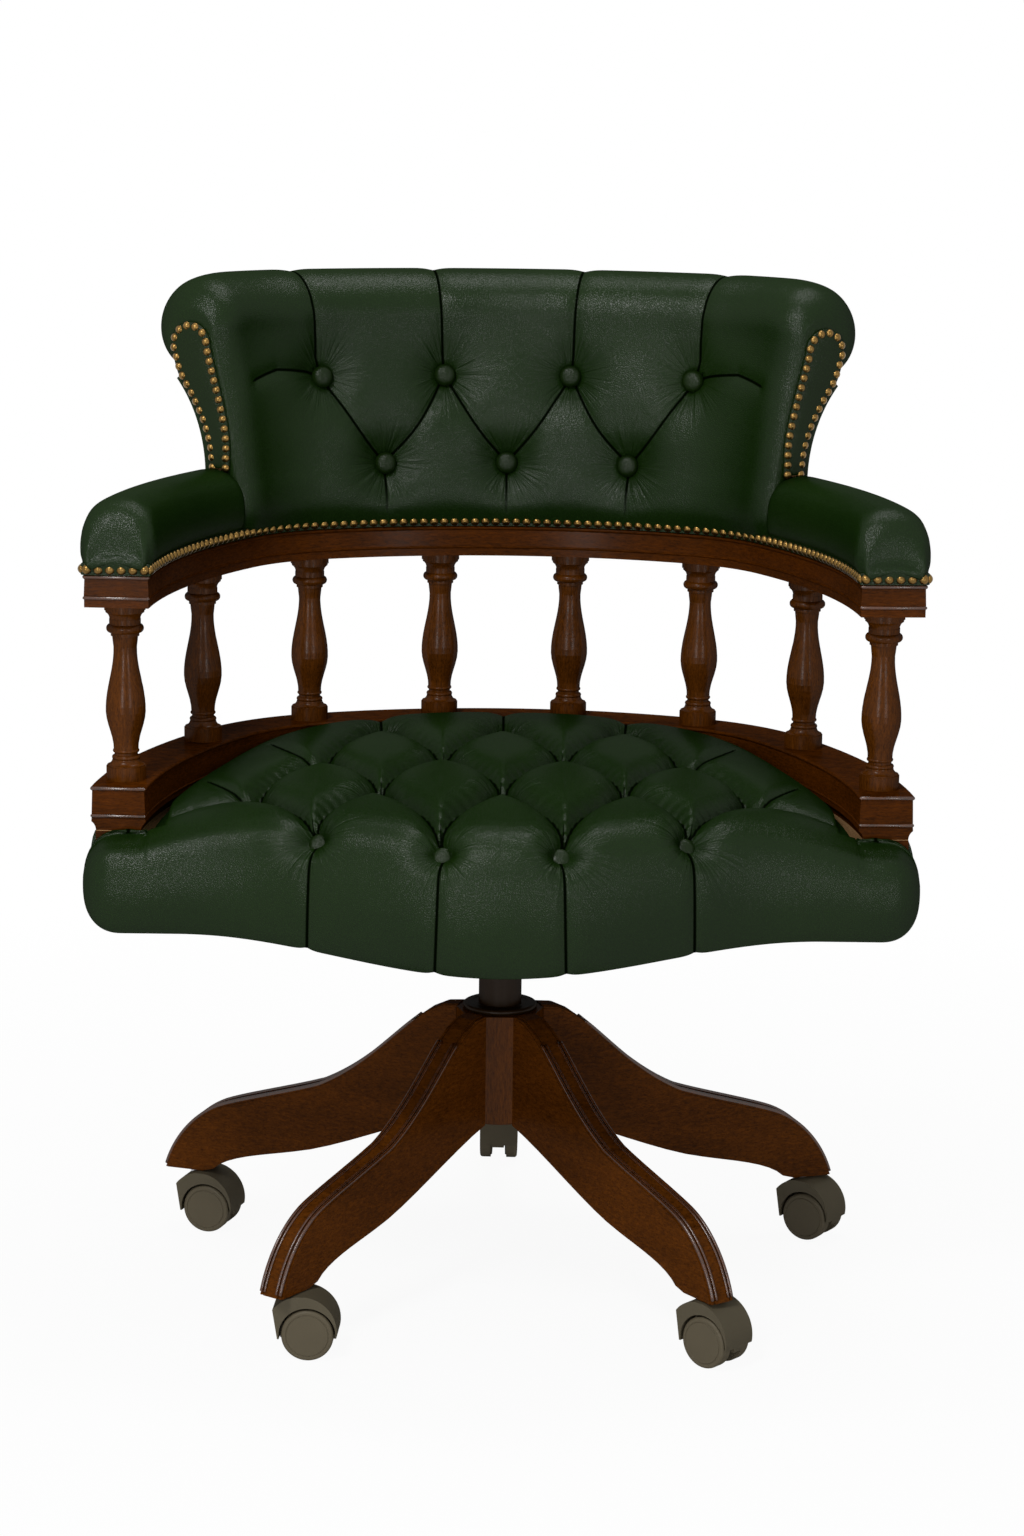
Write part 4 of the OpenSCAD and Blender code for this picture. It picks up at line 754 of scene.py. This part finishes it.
def back_leather():
    tufts = Tufts(both_halves(BACK_BUTTONS), both_halves(BACK_CREASES), pit=19, wide=24, full=3.0, dimple=(14, 30))
    ss = even_then_fine(BACK_S, 16, 12)
    inner = spline(BACK_FACE, 84)
    angle = np.radians(np.linspace(180, -63, 91)[1:])
    base, pattern = [], []
    for s in ss:
        e = math.sqrt(max(0, 1 - max(0, (abs(s) - BACK_S + ROLL_END) / ROLL_END) ** 2.2))
        r = ROLL_END_R + (ROLL_R - ROLL_END_R) * e
        cu, cz = ROLL_U - 6 * (1 - e), BACK_TOP - ROLL_R - 12 * (1 - e)
        wall = inner.copy()
        wall[:, 1] = FOOT + (wall[:, 1] - FOOT) * (cz - FOOT) / (ROLL_FROM - FOOT)
        k = np.clip((wall[:, 1] - 740) / (cz - 740), 0, 1) ** 2
        wall[:, 0] += (cu - r - wall[-1, 0]) * k
        roll = np.stack([cu + r * np.cos(angle), cz + r * np.sin(angle)], -1)
        base.append(np.concatenate([wall, roll, [(34.5 if e > 0.3 else 34.0, 792.0)]]))
        pattern.append(np.concatenate([inner[:, 1], ROLL_FROM + ROLL_R * (np.pi - angle), [ROLL_FROM + ROLL_R * 4.3]]))
    base, pattern = np.array(base), np.array(pattern)
    m, n = pattern.shape
    flat = np.stack([np.repeat(ss, n), pattern.ravel()], -1)
    tangent = np.gradient(base, axis=1) / np.gradient(pattern, axis=1)[..., None]
    outline = np.stack([-tangent[..., 1], tangent[..., 0]], -1)
    outline /= np.linalg.norm(outline, axis=-1, keepdims=True)
    drop, beside = tufts.relief(flat)
    drop = drop.reshape(m, n)
    height, near, strength = tufts.ripple(flat)
    # The edge round each end panel
    to_end = BACK_S - np.abs(ss)[:, None]
    edge = 13 * (1 - np.clip(to_end / 34, 0, 1)) ** 3
    foot = np.clip((pattern - FOOT) / 25, 0, 1)
    move = -drop * (0.25 + 0.75 * foot) + height.reshape(m, n) * foot - edge * 0.8
    uz = base + outline * move[..., None]
    p = on_rail(ss[:, None], uz[..., 0], uz[..., 1])
    # Rows that close the cushion against the board
    closing = np.concatenate([flare_arc(BOARD_R, [40, 30, 20, 10, 0]), [(FLARE_U - BOARD_R, FOOT)]])
    closing = on_rail(ss[:, None], closing[:, 0], closing[:, 1])
    obj = cushion_piece("back_leather", np.concatenate([p, closing], axis=1), n, near, strength, beside)
    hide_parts("back_cushion")
    places, normals = [], []
    for bs, bz in both_halves(BACK_BUTTONS):
        normals.append(-rail_normal(bs) + np.array([0, 0, 0.1]))
        places.append(p[nearest_point(flat, (m, n), bs, bz)] + normals[-1] * 3.5)
    caps = button_caps("back_button_caps", places, normals, radius=10.0, rise=8.5)
    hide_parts("back_buttons")


def swept(name, section, s_from, s_to, look, step=4.0, swell=None):
    """A closed section (u, z) swept along the horseshoe, with flat ends. swell gives its move outward by s and z."""
    count, n = max(2, int(abs(s_to - s_from) / step) + 1), len(section)
    ss = np.linspace(s_from, s_to, count)[:, None]
    u, z = np.asarray(section, float).T
    if swell is not None:
        u = u + swell(ss, z)
    faces = grid_faces(count, n).tolist() + end_caps(count, n)
    obj = new_piece(name, on_rail(ss, u, z).reshape(-1, 3), faces, look)
    obj.data.set_sharp_from_angle(angle=math.radians(50))
    return obj


def back_outside():
    """The leather over the outside of the back, stretched between the rail and the roll."""
    angles = np.linspace(0, 40.4, 22)
    face = [(FLARE_U - COVER_R, z) for z in (FOOT, 652, 662, 676, 690)]
    face = np.concatenate([face, flare_arc(COVER_R, angles)])
    section = np.concatenate([face, flare_arc(FLARE_R - 0.5, angles[::-3]), [(FLARE_U - FLARE_R + 0.5, FOOT)]])

    def swell(s, z):
        way = np.clip((z - 650) / 140, 0, 1)
        return (1.2 * np.sin(np.pi * way) + 0.3 * np.sin(s / 31.0) * way) * (np.arange(len(z)) < len(face))

    obj = swept("back_outside_leather", section, -BACK_S, BACK_S, LEATHER, swell=swell)
    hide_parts("back_cover")
    # Piping between the outside and the roll
    u, z = flare_arc(COVER_R - 1.2, 40)
    swept("back_piping", circle(u, z + 1.2, 2.2), -BACK_S + 8, BACK_S - 8, LEATHER_SMALL)


def brass_nails(name, places, normals, radius, rise, sides=12):
    """Domed nail heads as one piece."""
    # Share of the radius, and how far below the top as a share of the rise
    profile = [(0.30, 0.10), (0.58, 0.30), (0.80, 0.56), (0.94, 0.82), (1.0, 1.0), (1.0, 1.35)]
    normals = np.asarray(normals, float)
    normals /= np.linalg.norm(normals, axis=1, keepdims=True)
    helper = np.where(np.abs(normals[:, 2:3]) > 0.9, [[1.0, 0, 0]], [[0, 0, 1.0]])
    side = np.cross(helper, normals)
    side /= np.linalg.norm(side, axis=1, keepdims=True)
    up = np.cross(normals, side)
    places = np.asarray(places, float)
    angle = 2 * np.pi * np.arange(sides) / sides
    spoke = side[:, None] * np.cos(angle)[None, :, None] + up[:, None] * np.sin(angle)[None, :, None]
    points = [(places + normals * rise)[:, None]]
    for share, fall in profile:
        points.append((places + normals * rise * (1 - fall))[:, None] + radius * share * spoke)
    points = np.concatenate(points, axis=1)
    faces = []
    for i in range(len(places)):
        faces += cap_faces(i * points.shape[1], len(profile), sides)
    new_piece(name, points.reshape(-1, 3), faces, BRASS)


def even_places(path, pitch):
    """Points along a polyline at an even pitch near the given one."""
    path = np.asarray(path, float)
    way = distances(path)
    return at_distances(path, way, np.linspace(0, way[-1], int(round(way[-1] / pitch)) + 1))


# ---------------- the panels on the back's ends
def back_facing(side):
    """A padded panel on one end of the back, and where its nails stand and point."""
    inner = spline([(-17.5, 709.5), (-17.5, 737), (-12.5, 763), (-3, 797), (2, 816)], 30)
    arc = np.radians(np.linspace(172, -25, 22))
    top = np.stack([22 + 20.0 * np.cos(arc), 817 + 20.0 * np.sin(arc)], -1)
    outer = spline([(39.5, 806), (34, 790), (21.5, 770), (11, 750), (4.5, 729), (2.5, 709.5)], 30)
    outline = np.concatenate([inner, top, outer])
    spine = spline([(-7.5, 712), (-7, 737), (0, 768), (13, 797), (21, 815)], 60)
    inward = spine[np.linalg.norm(outline[:, None] - spine[None], axis=-1).argmin(1)] - outline
    base = rail(side * BACK_S, 0)
    n = rail_normal(side * BACK_S)
    forward = rail_forward(side, BACK_S)

    def place(uz, out):
        return np.array([base[0], base[1], 0.0]) + n * uz[:, :1] + forward * out + np.array([0, 0, 1.0]) * uz[:, 1:]

    rings = [place(outline, 0.3), place(outline, 2.4)]
    for f in (0.06, 0.14, 0.26, 0.42, 0.6, 0.8, 1.0):
        rings.append(place(outline + inward * f, 2.4 + 2.6 * math.sqrt(1 - (1 - f) ** 2)))
    rings = np.array(rings)
    k, n_out = rings.shape[:2]
    faces = grid_faces(k, n_out)
    if side > 0:
        faces = faces[:, ::-1]
    obj = new_piece("back_facing_" + ("right" if side > 0 else "left"), rings.reshape(-1, 3),
                    faces.tolist() + [list(range(n_out))], LEATHER_SMALL, weld=True)
    obj.data.set_sharp_from_angle(angle=math.radians(60))
    nails = even_places(outline + inward / np.linalg.norm(inward, axis=1, keepdims=True) * 3.6, pitch=8.6)
    return obj, place(nails, 3.2), np.broadcast_to(forward, (len(nails), 3))


def back_facings():
    (_, nails_left, out_left), (right, nails_right, out_right) = back_facing(-1), back_facing(1)
    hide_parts("back_facings")
    brass_nails("brass_nails_back", np.concatenate([nails_left, nails_right]), np.concatenate([out_left, out_right]),
                radius=3.9, rise=3.0)


# ---------------- arm pads
PAD_TOP, PAD_W, PAD_ROUND = 709.0, 64.0, 38.0
# Half of the section, as shares of its half width and height
PAD_HALF = [(0.86, 0), (0.862, 0.08), (0.868, 0.15), (0.93, 0.19), (0.985, 0.27), (1, 0.38), (0.985, 0.52),
            (0.92, 0.69), (0.76, 0.85), (0.42, 0.965)]
PAD_SECTION = [(-u, v) for u, v in PAD_HALF] + [(0, 1.0)] + PAD_HALF[::-1]


def arm_pad(side):
    section = spline(PAD_SECTION, 64)
    s0, s1 = BACK_S - 2, RAIL_END + 0.8
    t = np.linspace(0, np.pi / 2, 22)
    ss = np.concatenate([np.linspace(s0, s1 - PAD_ROUND, 70), s1 - PAD_ROUND + PAD_ROUND * np.sin(t)[1:]])
    rings = []
    for s in ss:
        f = max(0, (s - s1 + PAD_ROUND) / PAD_ROUND)
        crown = (1 - f ** 2.6) ** (1 / 2.6)
        high = 0.30 + 0.70 * crown
        corner = max(0, (s - s1 + 16) / 16)
        wide = 1 - 0.3 * (1 - math.sqrt(1 - corner ** 2)) * np.clip((section[:, 1] - 0.15) / 0.08, 0, 1)
        near_back = max(0, 1 - (s - s0) / 9)
        u = section[:, 0] * wide * PAD_W / 2 * (1 - 0.02 * near_back)
        z = FOOT + section[:, 1] * high * (PAD_TOP - FOOT) - 1.5 * near_back ** 2 * section[:, 1]
        # The full front swells over its foot
        swell = np.sin(np.pi * np.clip(section[:, 1], 0, 1)) * (section[:, 1] > 0.12)
        ahead = 6.5 * math.exp(-((f - 1) / 0.06) ** 2) * swell
        rings.append(on_rail(side * (s + ahead * 0.7), u, z))
    last = rings[-1]
    middle = last.mean(0)
    for k in (0.75, 0.45, 0.15):
        rings.append(middle + (last - middle) * k + rail_forward(side, s1) * 3.0 * (1 - k * k))
    rings = np.array(rings)
    count, n = rings.shape[:2]
    points = rings.reshape(-1, 3)
    faces = grid_faces(count, n)
    if side < 0:
        faces = faces[:, ::-1]
    faces = faces.tolist() + end_caps(count, n, turned=False)
    name = "right" if side > 0 else "left"
    obj = new_piece("arm_pad_leather_" + name, points, faces, LEATHER)
    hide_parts("arm_pad_" + name)


# ---------------- hem and nails round the arm rail
HEM_U, HEM_END, HEM_HIGH = 28.8, RAIL_END + 2.2, 10.0


def hem_strips():
    """The leather band that the nails hold, along both sides of the rail and over its ends."""
    top, half = FOOT + HEM_HIGH, HEM_U - 1.4
    side = [(half, FOOT), (HEM_U, FOOT + 0.5), (HEM_U + 0.15, FOOT + 5), (HEM_U, top - 0.5), (half, top)]
    swept("leather_hem_inside", [(-u, z) for u, z in side][::-1], -HEM_END, HEM_END, LEATHER_SMALL)
    swept("leather_hem_right", side, BACK_S + 1, HEM_END, LEATHER_SMALL)
    swept("leather_hem_left", side, -HEM_END, -BACK_S - 1, LEATHER_SMALL)
    front = [(-half, FOOT), (half, FOOT), (half, top), (-half, top)]
    for name, sign in (("leather_hem_front_right", 1), ("leather_hem_front_left", -1)):
        swept(name, front, sign * (RAIL_END + 0.9), sign * HEM_END, LEATHER_SMALL, 0.5)


def rail_nails():
    places, normals = [], []
    z = FOOT + 4.8
    last = RAIL_END - 1
    for u, ranges, sign in ((-HEM_U - 0.1, [(-last, last)], -1),
                            (HEM_U + 0.1, [(-last, -BACK_S - 4), (BACK_S + 4, last)], 1),
                            (FLARE_U - COVER_R + 0.4, [(-BACK_S + 4, BACK_S - 4)], 1)):
        for a, b in ranges:
            ss = np.linspace(a, b, 600)
            x, y = rail(ss, u)
            for px, py in even_places(np.stack([x, y], -1), pitch=9.4):
                normals.append(rail_normal(ss[np.hypot(x - px, y - py).argmin()]) * sign)
                places.append((px, py, z))
    for side in (-1, 1):
        for u in np.linspace(-24, 24, 6):
            x, y = rail(side * (HEM_END + 0.1), u)
            places.append((float(x), float(y), z))
            normals.append(rail_forward(side, RAIL_END))
    brass_nails("brass_nails_rail", places, normals, radius=4.3, rise=3.2)


def end_beads():
    """Bead mouldings returned across the front ends of the rail and the hoop."""
    points, faces = [], []
    for half, z in ((26.4, 628.0), (26.4, 645.4), (21.9, 444.2), (21.9, 467.4)):
        for side in (-1, 1):
            forward = rail_forward(side, RAIL_END)
            start = len(points)
            for u, size in ((-half - 1.4, 0.5), (-half, 1.0), (half, 1.0), (half + 1.4, 0.5)):
                x, y = rail(side * RAIL_END, u)
                for out, up in circle(0, 0, size, 10):
                    out = 1.5 * out + 0.1
                    points.append((float(x) + forward[0] * out, float(y) + forward[1] * out, z + 1.6 * up))
            faces += grid_faces(4, 10, start=start).tolist() + end_caps(4, 10, start, turned=False)
    new_piece("rail_end_beads", points, faces, WOOD_BEADS)


# ---------------- beads on the legs
HUB_R, HUB_TOP = 36.9, 238.0
LEG_R, LEG_Z = 320.0, 57.0
FOOT_R = LEG_R - 57


def leg_point(x, y):
    """Point of a leg's side view: x as a share of the way to the foot, y of the height up to the hub's top."""
    return HUB_R + x * (FOOT_R - HUB_R), LEG_Z + y * (HUB_TOP - LEG_Z)


LEG_WAIST, LEG_FOOT = leg_point(0.584, 0.519), (FOOT_R, LEG_Z + 65)
# The top of a leg's side view as three cubic curves, the same as in the CAD part
LEG_TOP = [[(HUB_R, HUB_TOP + 1), (HUB_R + 37, HUB_TOP + 5), leg_point(0.297, 0.691), LEG_WAIST],
           [LEG_WAIST, leg_point(0.699, 0.467), leg_point(0.889, 0.409), LEG_FOOT],
           [LEG_FOOT, (LEG_R - 30, LEG_Z + 55), (LEG_R - 8, LEG_Z + 29), (LEG_R, LEG_Z)]]


def leg_beads():
    """Bead mouldings along both upper edges of each leg."""
    line = []
    for c in LEG_TOP:
        for t in np.linspace(0, 1, 24, endpoint=False):
            w = [(1 - t) ** 3, 3 * t * (1 - t) ** 2, 3 * t * t * (1 - t), t ** 3]
            line.append([sum(k * q[i] for k, q in zip(w, c)) for i in (0, 1)])
    line = spline(line + [LEG_TOP[2][3]], 110)[14:-1]
    ahead = np.gradient(line, axis=0)
    ahead /= np.linalg.norm(ahead, axis=1, keepdims=True)
    above = np.stack([-ahead[:, 1], ahead[:, 0]], -1)
    points, faces = [], []
    for azimuth in (-36, 36, -108, 108, 180):
        c, s = math.cos(math.radians(azimuth)), math.sin(math.radians(azimuth))
        for offset, r, rise in ((-10.0, 1.5, 0.1), (-6.2, 1.2, 0.4), (6.2, 1.2, 0.4), (10.0, 1.5, 0.1)):
            start = len(points)
            ring = circle(offset, rise, r, 8)
            for q, up in zip(line, above):
                for aside, high in ring:
                    along, z = q + up * high
                    points.append((s * along + c * aside, -c * along + s * aside, z))
            faces += grid_faces(len(line), 8, start=start).tolist()
            faces += end_caps(len(line), 8, start, turned=False)
    new_piece("leg_beads", points, faces, WOOD_BEADS, body="base")


# ---------------- seat border and dust cloth
def seat_border():
    """The leather over the sides of the seat's frame, gathered a little under the hoop."""
    low, high = 357.7, 431.4
    t = np.linspace(0, 1, 15)
    bulge = 19.4 + 6.2 * np.sin(np.pi * t) ** 0.7
    face = np.stack([bulge, low + (high - low) * t], -1)
    section = np.concatenate([face, [(19.3, high), (19.3, low)]])

    def swell(s, z):
        way = np.clip((z - low) / (high - low), 0, 1)
        pucker = 0.45 * np.sin(s / 2.9) * np.exp(-((way - 1) / 0.12) ** 2)
        return (pucker + 0.4 * np.sin(s / 37.0) * np.sin(np.pi * way)) * (np.arange(len(z)) < len(face))

    end = RAIL_END - 0.5
    obj = swept("seat_border_leather", section, -end, end, LEATHER, 1.6, swell=swell)
    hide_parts("seat_border")
    for name, side in (("frame_end_right", 1), ("frame_end_left", -1)):
        swept(name, [(-19, 373), (19, 373), (19, high), (-19, high)], side * (RAIL_END + 0.2),
              side * (RAIL_END + 1.6), WOOD_ROUND, 0.5)
    swept("seat_piping_low", circle(20.2, low + 0.6, 2.1), -end, end, LEATHER_SMALL)


CLOTH_Z = 357.2
OPENING = np.array([174.0, 234.0])  # for the mechanism


def dust_cloth():
    """The black cloth stretched under the seat, with the opening for the mechanism."""
    side = np.stack(rail(np.linspace(0, RAIL_END, 120), 15.0), -1)
    xs = np.linspace(SEAT_HALF - 54, 0, 60)
    front = np.stack([xs, front_edge(xs / (1 - 6 / 302)) + 26.3], -1)
    half = np.concatenate([side, front])
    outline = np.concatenate([half, (half * [-1, 1])[-2:0:-1]])
    middle = np.array([0.0, -15.0])
    angle = np.arctan2(*(outline - middle).T[::-1])
    ray = np.stack([np.cos(angle), np.sin(angle)], -1)
    hole = middle + ray * (0.5 * OPENING / np.maximum(np.abs(ray), 1e-9)).min(1, keepdims=True)
    rings = []
    for f in np.linspace(0, 1, 16):
        sag = 1.1 * math.sin(math.pi * f) * (1 + 0.35 * np.sin(9 * angle) + 0.2 * np.sin(23 * angle + 1))
        rings.append(np.concatenate([outline + (hole - outline) * f, (CLOTH_Z - sag)[:, None]], axis=1))
    faces = grid_faces(len(rings), len(outline)).tolist()
    obj = new_piece("underseat_cloth", np.concatenate(rings), faces, CLOTH)
    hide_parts("dust_cover")


# ---------------- build
seat_leather()
back_leather()
back_outside()
back_facings()
arm_pad(-1)
arm_pad(1)
end_beads()
leg_beads()
hem_strips()
rail_nails()
seat_border()
dust_cloth()
